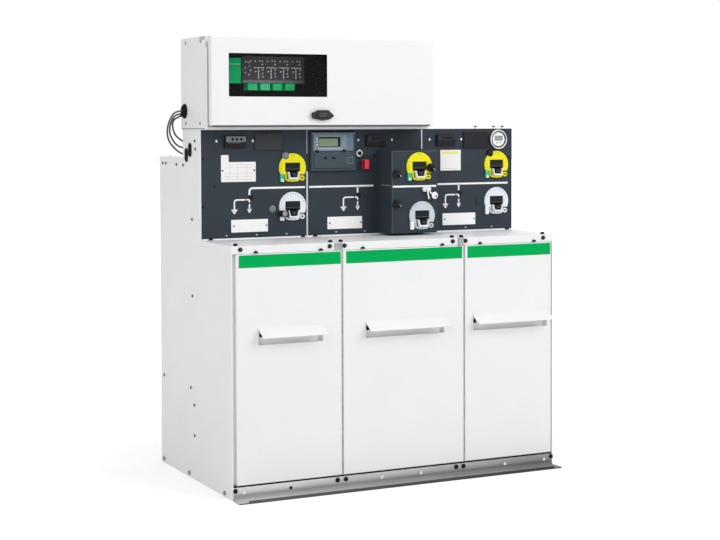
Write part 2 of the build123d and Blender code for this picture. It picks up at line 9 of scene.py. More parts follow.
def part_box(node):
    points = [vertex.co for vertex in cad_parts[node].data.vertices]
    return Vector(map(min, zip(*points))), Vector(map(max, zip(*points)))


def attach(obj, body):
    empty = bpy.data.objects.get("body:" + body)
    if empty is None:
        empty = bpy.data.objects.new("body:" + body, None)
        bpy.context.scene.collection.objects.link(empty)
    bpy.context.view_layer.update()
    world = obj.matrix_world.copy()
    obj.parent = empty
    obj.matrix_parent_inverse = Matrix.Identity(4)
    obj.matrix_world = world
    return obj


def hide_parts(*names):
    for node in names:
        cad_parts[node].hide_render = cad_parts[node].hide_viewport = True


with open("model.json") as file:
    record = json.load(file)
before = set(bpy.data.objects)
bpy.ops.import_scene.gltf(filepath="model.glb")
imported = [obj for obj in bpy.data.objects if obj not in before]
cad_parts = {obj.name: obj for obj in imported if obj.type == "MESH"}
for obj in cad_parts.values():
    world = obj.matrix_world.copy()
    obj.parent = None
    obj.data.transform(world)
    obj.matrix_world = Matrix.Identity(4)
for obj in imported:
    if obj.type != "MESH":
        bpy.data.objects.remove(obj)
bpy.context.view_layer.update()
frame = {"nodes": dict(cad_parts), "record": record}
nodes = frame["nodes"]
scene = bpy.context.scene
scene.view_settings.view_transform = "Standard"

# Places are in millimetres from the lower left front corner of the body:
# x to the right, y to the back from the door faces, z up
MM = 0.001
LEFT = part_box("left_side_panel")[0].x
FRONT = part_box("left_door")[0].y


def at(x, y, z):
    return Vector((LEFT + x * MM, FRONT + y * MM, z * MM))


def span(node):
    low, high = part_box(node)
    origin = at(0, 0, 0)
    return [((low[i] - origin[i]) / MM, (high[i] - origin[i]) / MM) for i in range(3)]


def middle(pair):
    return (pair[0] + pair[1]) / 2


def extent(pair):
    return pair[1] - pair[0]


SIDES = {
    "front": ((1, 0, 0), (0, 0, 1), (0, -1, 0)),
    "left": ((0, -1, 0), (0, 0, 1), (-1, 0, 0)),
    "right": ((0, 1, 0), (0, 0, 1), (1, 0, 0)),
    "back": ((-1, 0, 0), (0, 0, 1), (0, 1, 0)),
    "top": ((1, 0, 0), (0, 1, 0), (0, 0, 1)),
}


def on(side, x, y, z, turn=0):
    """Matrix from a shape's millimetres, u right, v up and w outwards, to a place on that side."""
    basis = Matrix(SIDES[side]).transposed().to_4x4()
    spin = Matrix.Rotation(math.radians(turn), 4, "Z")
    return Matrix.Translation(at(x, y, z)) @ basis @ spin @ Matrix.Scale(MM, 4)


def front(x, y, z, turn=0):
    return on("front", x, y, z, turn)


# Materials: each has its own grain and its own small changes of tone
def set_sockets(node, sockets):
    for socket, value in sockets.items():
        node.inputs[socket.replace("_", " ")].default_value = value


def add_node(tree, kind, operation=None, **sockets):
    node = tree.nodes.new("ShaderNode" + kind)
    if operation:
        node.operation = operation
    set_sockets(node, sockets)
    return node


class Look:
    def __init__(self, name, roughness=0.5, metallic=0.0, **sockets):
        self.material = bpy.data.materials.new(name)
        self.material.use_nodes = True
        self.tree = self.material.node_tree
        self.shader = self.tree.nodes["Principled BSDF"]
        set_sockets(self.shader, {"Roughness": roughness, "Metallic": metallic, **sockets})
        self.place = add_node(self.tree, "TexCoord").outputs["Object"]

    def link(self, source, target):
        self.tree.links.new(source, target)

    def noise(self, scale, detail=3.0, stretch=None):
        texture = add_node(self.tree, "TexNoise", Scale=scale, Detail=detail)
        place = self.place
        if stretch:
            mapping = add_node(self.tree, "Mapping", Scale=stretch)
            self.link(place, mapping.inputs["Vector"])
            place = mapping.outputs["Vector"]
        self.link(place, texture.inputs["Vector"])
        return texture.outputs["Fac"]

    def ramp(self, factor, stops):
        ramp = add_node(self.tree, "ValToRGB")
        elements = ramp.color_ramp.elements
        while len(elements) < len(stops):
            elements.new(0.5)
        for element, (position, colour) in zip(elements, stops):
            element.position = position
            element.color = (*colour, 1.0)
        self.link(factor, ramp.inputs["Fac"])
        return ramp.outputs["Color"]

    def tones(self, factor, stops):
        self.link(self.ramp(factor, stops), self.shader.inputs["Base Color"])

    def ranged(self, factor, from_low, from_high, low, high):
        remap = add_node(self.tree, "MapRange", From_Min=from_low, From_Max=from_high,
                         To_Min=low, To_Max=high)
        self.link(factor, remap.inputs["Value"])
        return remap.outputs["Result"]

    def rough(self, factor, low, high):
        self.link(self.ranged(factor, 0.3, 0.7, low, high), self.shader.inputs["Roughness"])

    def bump(self, factor, strength, distance):
        bump = add_node(self.tree, "Bump", Strength=strength, Distance=distance)
        self.link(factor, bump.inputs["Height"])
        self.link(bump.outputs["Normal"], self.shader.inputs["Normal"])


ZINC = (0.33, 0.335, 0.34)
PLAIN = (1.0, 1.0, 1.0)
ROLLED = (0.12, 1.0, 1.0)
METAL_TONE = 0.12


def shade(colour, share):
    return tuple(min(1.0, channel * share) for channel in colour)


def coated(name, colour, low, high, grain, strength, tone=0.04, **sockets):
    """Paint or moulded plastic: fine surface grain, and a slow drift of tone and gloss."""
    look = Look(name, **sockets)
    drift = look.noise(7.0, 4.0)
    look.tones(drift, [(0.3, shade(colour, 1 - tone)), (0.7, shade(colour, 1 + tone))])
    look.rough(look.noise(28.0), low, high)
    look.bump(look.noise(grain, 2.0), strength, 0.0004)
    return look.material


def metal(name, colour, low, high, stretch):
    """Bare metal with fine lines along one direction."""
    look = Look(name, metallic=1.0)
    lines = look.noise(260.0, stretch=stretch)
    look.tones(lines, [(0.3, shade(colour, 1 - METAL_TONE)), (0.7, shade(colour, 1 + METAL_TONE))])
    look.rough(lines, low, high)
    look.bump(lines, 0.15, 0.0002)
    return look.material


def galvanised(name):
    """Hot-dip zinc: streaks of different grey with a dull bloom over them."""
    look = Look(name, metallic=0.6)
    streaks = look.noise(46.0, 5.0, ROLLED)
    look.tones(streaks, [(0.25, (0.24, 0.245, 0.25)), (0.5, ZINC), (0.75, (0.43, 0.435, 0.44))])
    look.rough(look.noise(40.0, 5.0), 0.38, 0.58)
    look.bump(look.noise(130.0), 0.2, 0.0004)
    return look.material


def zinc_with_painted_shade(name):
    """Zinc on the base rails with painted light and shade: painted highlights on the web and the lip, painted
    shade on the lip's front, and painted shade darker to the right.
    """
    look = Look(name, roughness=0.5, metallic=0.25, Specular_IOR_Level=0.2)
    split = add_node(look.tree, "SeparateXYZ")
    look.link(look.place, split.inputs[0])
    # Painted shade and highlight by height: brighter up the web, darker towards its foot
    rise = look.ranged(split.outputs["Z"], 0.0, 0.04, 0.0, 1.0)
    toned = look.ramp(rise, [(stop, shade(ZINC, share))
                             for stop, share in ((0.28, 0.85), (0.42, 1.25), (0.60, 1.9), (0.95, 2.35))])
    # Painted shade on the lip's front and at the bend by the web, painted highlight on the lip's top
    depth = look.ranged(split.outputs["Y"], -0.36, -0.30, 0.0, 1.0)
    lip = look.ramp(depth, [(stop, shade(PLAIN, share))
                            for stop, share in ((0.06, 0.17), (0.11, 1.0), (0.85, 1.0), (0.97, 0.5))])
    # Painted shade: the light falls off to the right
    along = look.ranged(split.outputs["X"], -0.5, 0.5, 2.05, 0.95)
    streaks = look.ranged(look.noise(46.0, 5.0, ROLLED), 0.3, 0.7, 0.93, 1.07)
    for share in (lip, along, streaks):
        scaled = add_node(look.tree, "VectorMath", "SCALE")
        look.link(toned, scaled.inputs[0])
        look.link(share, scaled.inputs["Scale"])
        toned = scaled.outputs[0]
    look.link(toned, look.shader.inputs["Base Color"])
    look.bump(look.noise(130.0), 0.2, 0.0004)
    return look.material


def clear(name):
    """Clear polycarbonate sheet, thin enough to see straight through."""
    look = Look(name, roughness=0.05, Alpha=0.007, Specular_IOR_Level=0.12)
    look.tones(look.noise(9.0), [(0.3, (0.66, 0.70, 0.71)), (0.7, (0.76, 0.78, 0.78))])
    return look.material


WHITE = (0.86, 0.862, 0.872)
SLATE = (0.034, 0.045, 0.058)
DULL = {"Specular_IOR_Level": 0.13}
MATT = {"Specular_IOR_Level": 0.04}
white_paint = coated("white_powder_coat", WHITE, 0.34, 0.46, 900, 0.12, 0.012)
slate_paint = coated("slate_powder_coat", SLATE, 0.5, 0.62, 1100, 0.25, 0.08, **DULL)
black_plastic = coated("black_plastic", (0.012, 0.0125, 0.014), 0.4, 0.55, 800, 0.2, 0.15, **DULL)
seal_rubber = coated("seal_rubber", (0.011, 0.011, 0.012), 0.65, 0.8, 350, 0.3, 0.2, **MATT)
looks = {
    "galvanised": galvanised("galvanised_steel"),
    "white_paint": white_paint,
    "tank_steel": coated("tank_paint", (0.62, 0.63, 0.64), 0.45, 0.6, 500, 0.2),
    "slate_paint": slate_paint,
    "slate_plastic": coated("slate_plastic", (0.058, 0.082, 0.097), 0.5, 0.6, 700, 0.15, 0.06, **DULL),
    "yellow_plastic": coated("yellow_plastic", (0.85, 0.79, 0.015), 0.34, 0.46, 500, 0.08, **DULL),
    "white_plastic": coated("pale_plastic", (0.78, 0.84, 0.89), 0.34, 0.46, 500, 0.08),
    "black_plastic": black_plastic,
    "red_plastic": coated("red_plastic", (0.94, 0.060, 0.092), 0.36, 0.48, 500, 0.08, 0.05, **DULL),
    "bright_metal": metal("bright_metal", (0.78, 0.78, 0.79), 0.18, 0.32, (1.0, 1.0, 8.0)),
    "seal_rubber": seal_rubber,
    "clear_pane": clear("clear_pane"),
    "green_plastic": coated("green_plastic", (0.004, 0.78, 0.235), 0.45, 0.6, 500, 0.1, 0.07, **MATT),
    "cable_jacket": coated("cable_jacket", (0.075, 0.078, 0.080), 0.42, 0.56, 600, 0.15, 0.12),
}
green_paint = coated("green_band", (0.001, 0.41, 0.093), 0.5, 0.6, 900, 0.06, 0.02, **MATT)
plate_white = coated("plate_white", (0.88, 0.88, 0.87), 0.38, 0.5, 300, 0.04, 0.02)
label_white = coated("label_white", (0.96, 0.96, 0.955), 0.38, 0.5, 300, 0.04, 0.02)
line_white = coated("line_white", (0.90, 0.905, 0.91), 0.42, 0.52, 900, 0.08, 0.02)
zinc = metal("zinc_plate", (0.62, 0.62, 0.61), 0.25, 0.42, (6.0, 1.0, 1.0))
worn_steel = metal("worn_steel", (0.30, 0.30, 0.31), 0.3, 0.5, (1.0, 6.0, 1.0))
screw_steel = metal("screw_steel", (0.115, 0.115, 0.12), 0.35, 0.55, (6.0, 1.0, 1.0))
black_steel = coated("black_oxide", (0.010, 0.010, 0.011), 0.45, 0.6, 400, 0.2, 0.2, **DULL)
# Painted shade: near black for holes, hollows and recesses, where shade falls
hollow_painted_shade = coated("hollow_painted_shade", (0.005, 0.005, 0.006), 0.7, 0.85, 300, 0.1, 0.2, **MATT)
faint = coated("faint_grey", (0.50, 0.51, 0.52), 0.45, 0.55, 300, 0.04)
grey_plastic = coated("grey_plastic", (0.16, 0.175, 0.185), 0.3, 0.42, 500, 0.1, 0.06)
# The base rails' zinc, with painted light and shade
rail_zinc_painted_shade = zinc_with_painted_shade("rail_zinc_painted_shade")
own_looks = {
    "left_blank_cover": coated("cover_grey", (0.044, 0.047, 0.051), 0.5, 0.62, 700, 0.15, 0.06, **DULL),
    "right_blank_cover": coated("cover_dark", (0.018, 0.019, 0.021), 0.5, 0.62, 700, 0.15, 0.06, **DULL),
    "front_rail": rail_zinc_painted_shade,
    "rear_rail": rail_zinc_painted_shade,
}
for part in frame["record"]["subparts"]:
    for holder in nodes[part["node"]].material_slots:
        holder.material = own_looks.get(part["node"], looks[part["material_slot"]])


# Shapes, in millimetres
def ring_points(radius, cu=0.0, cv=0.0, count=48, start=0.0, end=360.0):
    full = abs(end - start) >= 360.0
    steps = count if full else count - 1
    turns = [math.radians(start + (end - start) * i / steps) for i in range(count)]
    return [(cu + radius * math.cos(a), cv + radius * math.sin(a)) for a in turns]


def box_points(width, height, radius=0.0, cu=0.0, cv=0.0, steps=6):
    if radius <= 0:
        half_u, half_v = width / 2, height / 2
        return [(cu - half_u, cv - half_v), (cu + half_u, cv - half_v),
                (cu + half_u, cv + half_v), (cu - half_u, cv + half_v)]
    reach_u, reach_v = width / 2 - radius, height / 2 - radius
    points = []
    for quarter, (side_u, side_v) in enumerate(((1, 1), (-1, 1), (-1, -1), (1, -1))):
        corner = (cu + side_u * reach_u, cv + side_v * reach_v)
        points += ring_points(radius, *corner, steps, quarter * 90, quarter * 90 + 90)
    return points


def stroke_points(route, width):
    """Outline of a line of that width along a route."""
    sides = ([], [])
    for i, point in enumerate(route):
        here = Vector(point)
        come = (here - Vector(route[i - 1])).normalized() if i else None
        go = (Vector(route[i + 1]) - here).normalized() if i + 1 < len(route) else None
        along = ((come or go) + (go or come)).normalized()
        across = Vector((-along.y, along.x))
        lean = across.dot(Vector((-(come or go).y, (come or go).x)))
        step = across * (width / 2 / max(lean, 0.3))
        sides[0].append(tuple(here + step))
        sides[1].append(tuple(here - step))
    return sides[0] + sides[1][::-1]


def area(points):
    return sum(a[0] * b[1] - b[0] * a[1] for a, b in zip(points, points[1:] + points[:1])) / 2


def cut_plate(outlines, depth, edge=0.3, rounds=2):
    """Plate with rounded edges, its back at w = 0. The first outline is the outside, the others are holes."""
    curve = bpy.data.curves.new("outline", "CURVE")
    curve.dimensions = "2D"
    curve.fill_mode = "BOTH"
    curve.extrude = depth / 2 - edge
    curve.bevel_depth = edge
    curve.bevel_resolution = rounds
    curve.offset = -edge
    for i, points in enumerate(outlines):
        if (area(points) > 0) != (i == 0):
            points = points[::-1]
        spline = curve.splines.new("POLY")
        spline.points.add(len(points) - 1)
        for knot, (u, v) in zip(spline.points, points):
            knot.co = (u, v, 0.0, 1.0)
        spline.use_cyclic_u = True
    holder = bpy.data.objects.new("outline", curve)
    mesh = bpy.data.meshes.new_from_object(holder)
    bpy.data.objects.remove(holder)
    bpy.data.curves.remove(curve)
    mesh.transform(Matrix.Translation((0, 0, depth / 2)))
    return mesh


def slab(size, depth, edge=0.3, rounds=2):
    """Plain plate: width, height and what else box_points takes."""
    return cut_plate([box_points(*size)], depth, edge, rounds)


def rim(outer, inner, depth, edge=0.3):
    """Plain plate with an opening."""
    return cut_plate([box_points(*outer), box_points(*inner)], depth, edge)


def turned(profile, count):
    """Solid of revolution about w. The profile is (radius, w), from the rim at the back to the front."""
    mesh = bpy.data.meshes.new("turned")
    bm = bmesh.new()
    rings = []
    for radius, w in profile:
        if radius <= 0:
            rings.append([bm.verts.new((0, 0, w))])
        else:
            rings.append([bm.verts.new((u, v, w)) for u, v in ring_points(radius, count=count)])
    for low, high in zip(rings, rings[1:]):
        for i in range(count):
            j = (i + 1) % count
            if len(high) == 1:
                bm.faces.new((low[i], low[j], high[0]))
            else:
                bm.faces.new((low[i], low[j], high[j], high[i]))
    bm.to_mesh(mesh)
    bm.free()
    return mesh


SHARP = math.radians(32)


def piece(name, parts, body="body", stands_for=()):
    """One object out of shapes: parts are (shape, matrix, material)."""
    mesh = bpy.data.meshes.new(name)
    bm = bmesh.new()
    for shape, place, material in parts:
        if material.name not in mesh.materials:
            mesh.materials.append(material)
        first_vert, first_face = len(bm.verts), len(bm.faces)
        bm.from_mesh(shape)
        bm.verts.ensure_lookup_table()
        bm.faces.ensure_lookup_table()
        bmesh.ops.transform(bm, matrix=place, verts=bm.verts[first_vert:])
        for face in bm.faces[first_face:]:
            face.material_index = mesh.materials.find(material.name)
            face.smooth = True
    bm.to_mesh(mesh)
    bm.free()
    mesh.set_sharp_from_angle(angle=SHARP)
    thing = bpy.data.objects.new(name, mesh)
    scene.collection.objects.link(thing)
    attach(thing, body)
    if stands_for:
        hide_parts(*stands_for)


# Camera
camera_data = bpy.data.cameras.new("camera")
camera_data.sensor_width = 36.0
camera_data.lens = 79.787
camera_data.shift_y = -0.125
camera = bpy.data.objects.new("camera", camera_data)
camera.location = at(-1793.7, -4550.3, 1157.6)
camera.rotation_euler = (math.radians(88.0095), math.radians(0.1772), math.radians(-26.1555))
scene.collection.objects.link(camera)
scene.camera = camera

# Control cables: limp, from the grommet down and round behind the housing
cable_routes = {
    "outer_cable": (
        (-10, 394.5, 1204.5), (-25, 396.5, 1203.5), (-40, 405, 1196), (-47.5, 425, 1171.5),
        (-46, 454.5, 1137.5), (-30.5, 481, 1104.5), (-5.5, 493, 1079.5), (16, 481, 1061),
        (31, 453.5, 1061), (31, 426, 1061),
    ),
    "middle_cable": (
        (-10, 404.5, 1194), (-22, 404.5, 1194), (-34.5, 413, 1187), (-39.5, 432.5, 1166),
        (-35.5, 460, 1136), (-18.5, 481, 1110.5), (4, 489.5, 1087), (30, 472, 1079),
        (46, 447.5, 1081), (46, 426, 1081),
    ),
    "inner_cable": (
        (-10, 410, 1189.5), (-22, 414, 1182.5), (-31.5, 425, 1175.5), (-29.5, 444.5, 1161.5),
        (-19.5, 466, 1140.5), (-4, 480.5, 1119.5), (21, 474.5, 1101), (45, 460.5, 1098),
        (57.5, 442.5, 1101), (57.5, 426, 1101),
    ),
}
CABLE_RADIUS = 3
for name, route in cable_routes.items():
    curve = bpy.data.curves.new(name + "_line", "CURVE")
    curve.dimensions = "3D"
    curve.bevel_depth = CABLE_RADIUS * MM
    curve.bevel_resolution = 5
    curve.resolution_u = 12
    curve.use_fill_caps = True
    spline = curve.splines.new("NURBS")
    spline.points.add(len(route) - 1)
    for knot, point in zip(spline.points, route):
        knot.co = (*at(*point), 1.0)
    spline.order_u = 3
    spline.use_endpoint_u = True
    curve.materials.append(looks["cable_jacket"])
    cable = bpy.data.objects.new(name + "_jacket", curve)
    scene.collection.objects.link(cable)
    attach(cable, "body")
    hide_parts(name)

# Shapes used many times
pan_screw = turned([(5.2, 0), (5.2, 1), (4.6, 2.3), (3, 3), (2, 3.1), (1.6, 1.8), (0, 1.8)], 28)
small_screw = turned([(3.6, 0), (3.6, 0.6), (3, 1.6), (1.6, 2), (1.2, 1), (0, 1)], 24)
washer = turned([(7.6, 0), (7.6, 1.3), (7.1, 1.7), (0, 1.7)], 36)
hex_head = cut_plate([ring_points(6, count=6)], 5.5, 0.7)
round_head = turned([(7, 0), (7, 2.6), (6.4, 4.4), (4.6, 5.8), (2.2, 6.3), (0, 6.4)], 36)
head_slit = slab((1.4, 9, 0.6), 0.3, 0.08, 0)
bolt_boss = turned([(7, 0), (7, 3.4), (6.4, 5.8), (4.4, 7.4), (0, 8)], 32)
low_boss = turned([(5.6, 0), (5.6, 1.6), (4.8, 3), (2.6, 3.8), (0, 4)], 28)
bush = turned([(5, 0), (5, 5.6), (4.6, 6), (0, 6)], 28)
half_dome = cut_plate([ring_points(7, 0, 0, 22, 0, 180)], 6, 1.8, 3)
rivet = turned([(3, 0), (3, 0.4), (2.3, 1.1), (0, 1.4)], 20)
key_dot = turned([(2.6, 0), (2.6, 0.8), (1.8, 1.6), (0, 1.9)], 20)

COLUMNS = ("left", "middle", "right")
ENDS = ("left", "right")
PANEL_Y = span("left_mimic_panel")[1][0]
RIGHT_X = span("right_side_panel")[0][1]
BODY_XS = (0, RIGHT_X)
CABINET_XS = (span("lv_left_cheek")[0][0], span("lv_right_cheek")[0][1])


def on_panel(x, z, out=0, turn=0):
    """Place on the face of the mimic panel, or so far out from it."""
    return front(x, PANEL_Y - out, z, turn)


def row(shape, xs, y, z, material):
    return [(shape, front(x, y, z), material) for x in xs]


def both_ends(shape, xs, y, z, material, turn=0, inset=0):
    """The same shape on the left and the right end."""
    return [(shape, on("left", xs[0] + inset, y, z, turn), material),
            (shape, on("right", xs[1] - inset, y, z, turn), material)]


def bolt(side, x, y, z, material, turn):
    return [(washer, on(side, x, y, z), material), (hex_head, on(side, x, y, z, turn), material)]


# Doors: green bands, bolts above them and the brackets between them
BAND_MARGINS = ((9, 3), (9.9, 5.6), (8.4, 4))
BAND_Z, BAND_TALL = 737, 39
band_parts = []
for name, margins in zip(COLUMNS, BAND_MARGINS):
    low, high = span(name + "_door")[0]
    xs = (low + margins[0], high - margins[1])
    band = slab((extent(xs), BAND_TALL, 1.2), 0.9, 0.25)
    band_parts.append((band, front(middle(xs), 0, BAND_Z), green_paint))
piece("door_bands", band_parts)

STRIP_BOLT_Z, STRIP_TOP = 774.6, 786
strip_parts = []
for x in (30, 333, 384.5, 778, 825.5, 1127):
    strip_parts.append((round_head, front(x, 0, STRIP_BOLT_Z), black_steel))
    strip_parts.append((head_slit, front(x, -6.3, STRIP_BOLT_Z, x % 24), screw_steel))
strip_parts += row(half_dome, (80.5, 301, 448.5, 738, 880.5, 1090), 0, 762.4, black_steel)
for x in (18, 340, 376, 780.5, 815.5, 1131):
    strip_parts.append((bolt_boss, on("top", x, 10, STRIP_TOP), black_steel))
strip_parts += row(half_dome, (34, 359, 403.5, 798, 838, 1146), PANEL_Y, STRIP_TOP + 1, black_steel)
piece("strip_bolts", strip_parts)

bracket = cut_plate([box_points(27, 22, 1.5), ring_points(3.2, -6, 0, 20)], 2.2, 0.4)
tall_bracket = cut_plate([box_points(22, 28, 1.5), ring_points(3.2, 0, 4, 20)], 2.2, 0.4)
ridge = slab((5, 20, 1), 4.2, 0.8)
bracket_places = ((bracket, 363, 773), (ridge, 373, 773), (tall_bracket, 808, 772), (ridge, 800, 771))
piece("door_brackets", [(shape, front(x, 0, z), looks["galvanised"]) for shape, x, z in bracket_places])

# Door handles: pressed hoods with a rolled lip and open ends, and painted shade for the hole in the back of
# each pocket
POCKET_Y, POCKET_HOLE_Z = 18, 506
TURN_IN = Matrix(((0, 0, 1, 0), (1, 0, 0, 0), (0, 1, 0, 0), (0, 0, 0, 1)))
pocket_hole = cut_plate([[(-5, 7.5), (1, 7.5), (5.5, -2), (5.5, -7.5), (-3.5, -7.5), (-5, -5)]], 0.4, 0.1, 1)
hole_parts = []
for name in COLUMNS:
    hood_xs, hood_ys, hood_zs = span(name + "_door_handle")
    reach, drop = -hood_ys[0], extent(hood_zs) - 2
    lean = [(0, 0), (2.5, -0.6), (5, -2.4), (reach - 2.2, -drop + 2), (reach - 0.5, -drop - 0.2),
            (reach - 0.9, -drop - 1.7), (reach - 2.6, -drop - 1.8), (4.6, -6.2), (0, -7)]
    hood = cut_plate([[(-out, up) for out, up in lean]], extent(hood_xs), 0.5)
    place = Matrix.Translation(at(hood_xs[0], 0, hood_zs[1])) @ TURN_IN @ Matrix.Scale(MM, 4)
    piece(name + "_handle_hood", [(hood, place, white_paint)],
          stands_for=[name + "_door_handle"])
    # Painted shade for the hole in the back of the pocket
    hole_parts.append((pocket_hole, front(hood_xs[0] + 16.4, POCKET_Y, POCKET_HOLE_Z), hollow_painted_shade))
piece("pocket_hole_shades", hole_parts)

# Base rail: bolts and holes in its web
OPEN_HOLE_X = 196
RAIL_HOLES = ((38.7, 22.8), (OPEN_HOLE_X, 21.5), (516, 22), (659, 22), (977.8, 21.5), (1132, 22))
hole_rim = turned([(5, 0), (5, 0.5), (4.2, 0.8), (3.8, 0.5), (3.8, 0.15), (0, 0.15)], 28)
rail_parts = []
for x in (9.5, 358, 387, 790, 817.6, 1159.5):
    rail_parts += bolt("front", x, 0, 29.5, black_steel, x % 40)
piece("rail_bolts", rail_parts)
# The open hole is painted shade; the others have pale rims
piece("rail_holes", [(hole_rim, front(x, 0, z), hollow_painted_shade if x == OPEN_HOLE_X else line_white)
                     for x, z in RAIL_HOLES])

# Side screws, the same pattern on both sides
SIDE_SCREWS = (
    (313, 1106), (307, 1080), (627, 1029), (596, 1029), (489, 1027), (424, 1026), (343, 851), (344, 601),
    (627, 303), (364, 298), (332, 245), (331, 145),
)
FOOT_BOLTS = ((632, 15), (382, 14), (65, 12))
CHEEK_SCREWS = ((392.4, 1425), (253, 1424), (395, 1162.5), (261.7, 1162.3))
foot_parts, cheek_parts = [], []
for side, x in zip(ENDS, BODY_XS):
    screw_parts = [(pan_screw, on(side, x, y, z, y % 50), screw_steel) for y, z in SIDE_SCREWS]
    piece(side + "_side_screws", screw_parts)
for y, z in FOOT_BOLTS:
    for side, x in zip(ENDS, BODY_XS):
        foot_parts += bolt(side, x, y, z, worn_steel, y % 40)
piece("foot_bolts", foot_parts)
for y, z in CHEEK_SCREWS:
    cheek_parts += both_ends(pan_screw, CABINET_XS, y, z, worn_steel, 20)
piece("cabinet_side_screws", cheek_parts)

# Mimic panel: white line diagram
MOTOR_XS, _, MOTOR_ZS = span("motor_box")
MOTOR_Y = span("middle_switch_dial")[1][1]
LINE, BRANCH = 6.4, 5.0
BUS_Z, MOTOR_BUS_Z, DROP_FOOT, BRANCH_Z = 951.5, 950.5, 929, 914.2


def bent(start, corner, end, radius):
    """Route from start to end with one rounded corner."""
    corner = Vector(corner)
    come = (Vector(start) - corner).normalized()
    go = (Vector(end) - corner).normalized()
    route = [start]
    for i in range(7):
        share = i / 6
        route.append(tuple(corner + come * radius * (1 - share) ** 2 + go * radius * share ** 2))
    return route + [end]


def filled(points, y=PANEL_Y, material=line_white, depth=0.5):
    return (cut_plate([points], depth, 0.12, 1), front(0, y, 0), material)


def painted(route, width=LINE, y=PANEL_Y):
    return filled(stroke_points(route, width), y)


def outgoing(x):
    """The switch mark, the cable arrow and the earth branch."""
    stub = bent((x - 10.5, BRANCH_Z), (x, BRANCH_Z), (x, 905.5), 5)
    earth_x = x - 52.6
    earth_bars = ((20.5, 881.5), (13.5, 876.2), (7, 871.2))
    return [
        filled(ring_points(9.5, x + 4, 919.5, 32), material=black_steel, depth=0.9),
        filled(stroke_points(stub, BRANCH), depth=1.1),
        painted([(x, 900), (x, 881)], BRANCH),
        filled([(x - 8, 883), (x, 869.5), (x + 8, 883), (x + 3, 885), (x - 3, 885)]),
        painted(bent((x - 14, BRANCH_Z), (earth_x, BRANCH_Z), (earth_x, 882), 9), BRANCH),
    ] + [filled(box_points(width, 4.2, 0, earth_x, z)) for width, z in earth_bars]


LEFT_DROP_X = 169.5
left_bus = bent((368, BUS_Z), (LEFT_DROP_X, BUS_Z), (LEFT_DROP_X, DROP_FOOT), 13)
diagram = [painted(left_bus)] + outgoing(LEFT_DROP_X)
for low, high, x in ((383, 620.5, 561.2), (868, 1150, 952)):
    diagram += [painted([(low, BUS_Z), (high, BUS_Z)]), painted([(x, BUS_Z), (x, DROP_FOOT)], 6)]
    diagram += outgoing(x)
piece("mimic_diagram", diagram)
motor_bus = [(MOTOR_XS[0] + 4.5, MOTOR_BUS_Z), (MOTOR_XS[1] - 4.5, MOTOR_BUS_Z)]
piece("motor_box_diagram", [painted(motor_bus, y=MOTOR_Y)])

# Bare label plates, rating plate and card
PLATE, CARD = 1.2, 0.9
PRINT = (0.12, 0.03, 0)
LABEL_Z, CARD_X = 829.5, 919.6
plate_parts = []
for xs in ((105.5, 234), (449, 577.5), (887.5, 1018)):
    plate_parts.append((slab((extent(xs), 41, 1), PLATE), on_panel(middle(xs), LABEL_Z), label_white))
    plate_parts += row(rivet, (xs[0] + 8.5, xs[1] - 5.5), PANEL_Y - PLATE, LABEL_Z, screw_steel)
piece("label_plates", plate_parts)

rating_outline = [(71.2, 973), (191.9, 973), (191.9, 1037.5), (99, 1037.5), (97.5, 1039.5), (97.5, 1058),
                  (95.5, 1060.5), (71.2, 1060.5)]
across, upright = slab((96, 0.9), *PRINT), slab((0.9, 48), *PRINT)
rating_parts = [(cut_plate([rating_outline], PLATE), on_panel(0, 0), plate_white)]
rating_parts += row(rivet, (76.3, 186.2), PANEL_Y - PLATE, 1010, black_steel)
rating_parts += [(across, on_panel(131.3, z, PLATE), faint) for z in (1029, 1019, 1001, 991, 981)]
rating_parts += row(upright, (102.3, 128.3, 160.3), PANEL_Y - PLATE, 1005, faint)
piece("rating_plate", rating_parts)

card_band = coated("card_yellow", (0.86, 0.80, 0.16), 0.4, 0.5, 300, 0.04)
piece("instruction_card", [
    (slab((80.7, 71, 1.5), CARD, 0.25), on_panel(CARD_X, 1033.5), plate_white),
    (slab((66, 9, 0.5), *PRINT), on_panel(CARD_X, 1059, CARD), card_band),
    (slab((66, 0.9), *PRINT), on_panel(CARD_X, 1004.5, CARD), faint),
])

# Small fixings on the mimic panel
dot = slab((6.4, 9, 3.1), 2.2, 0.8, 3)
foot_screw = slab((6.4, 4.6, 2), 1.6, 0.5)
fixings = row(dot, (55.8, 181.9, 564.4, 691, 836.7, 961.5), PANEL_Y, 1105.5, line_white)
fixings += row(foot_screw, (88.5, 194.7, 300.3, 481, 587.6, 979, 1084), PANEL_Y, 799.3, faint)
for x, z in ((9.7, 1050), (9.7, 894), (48, 959), (1156.6, 1042), (622, 1052)):
    fixings.append((small_screw, on_panel(x, z), black_steel))
piece("panel_fixings", fixings)
plug = turned([(12.6, 0), (12.6, 1.2), (12, 2.4), (9.5, 4), (5, 4.9), (0, 5.2)], 40)
piece("panel_plugs", [
    (plug, on_panel(296.3, 1056, 4), grey_plastic),
    (plug, on_panel(250.9, 882), grey_plastic),
    (plug, on_panel(1031, 887.5), slate_paint),
    (plug, on_panel(1075.5, 1056, 4), black_steel),
])

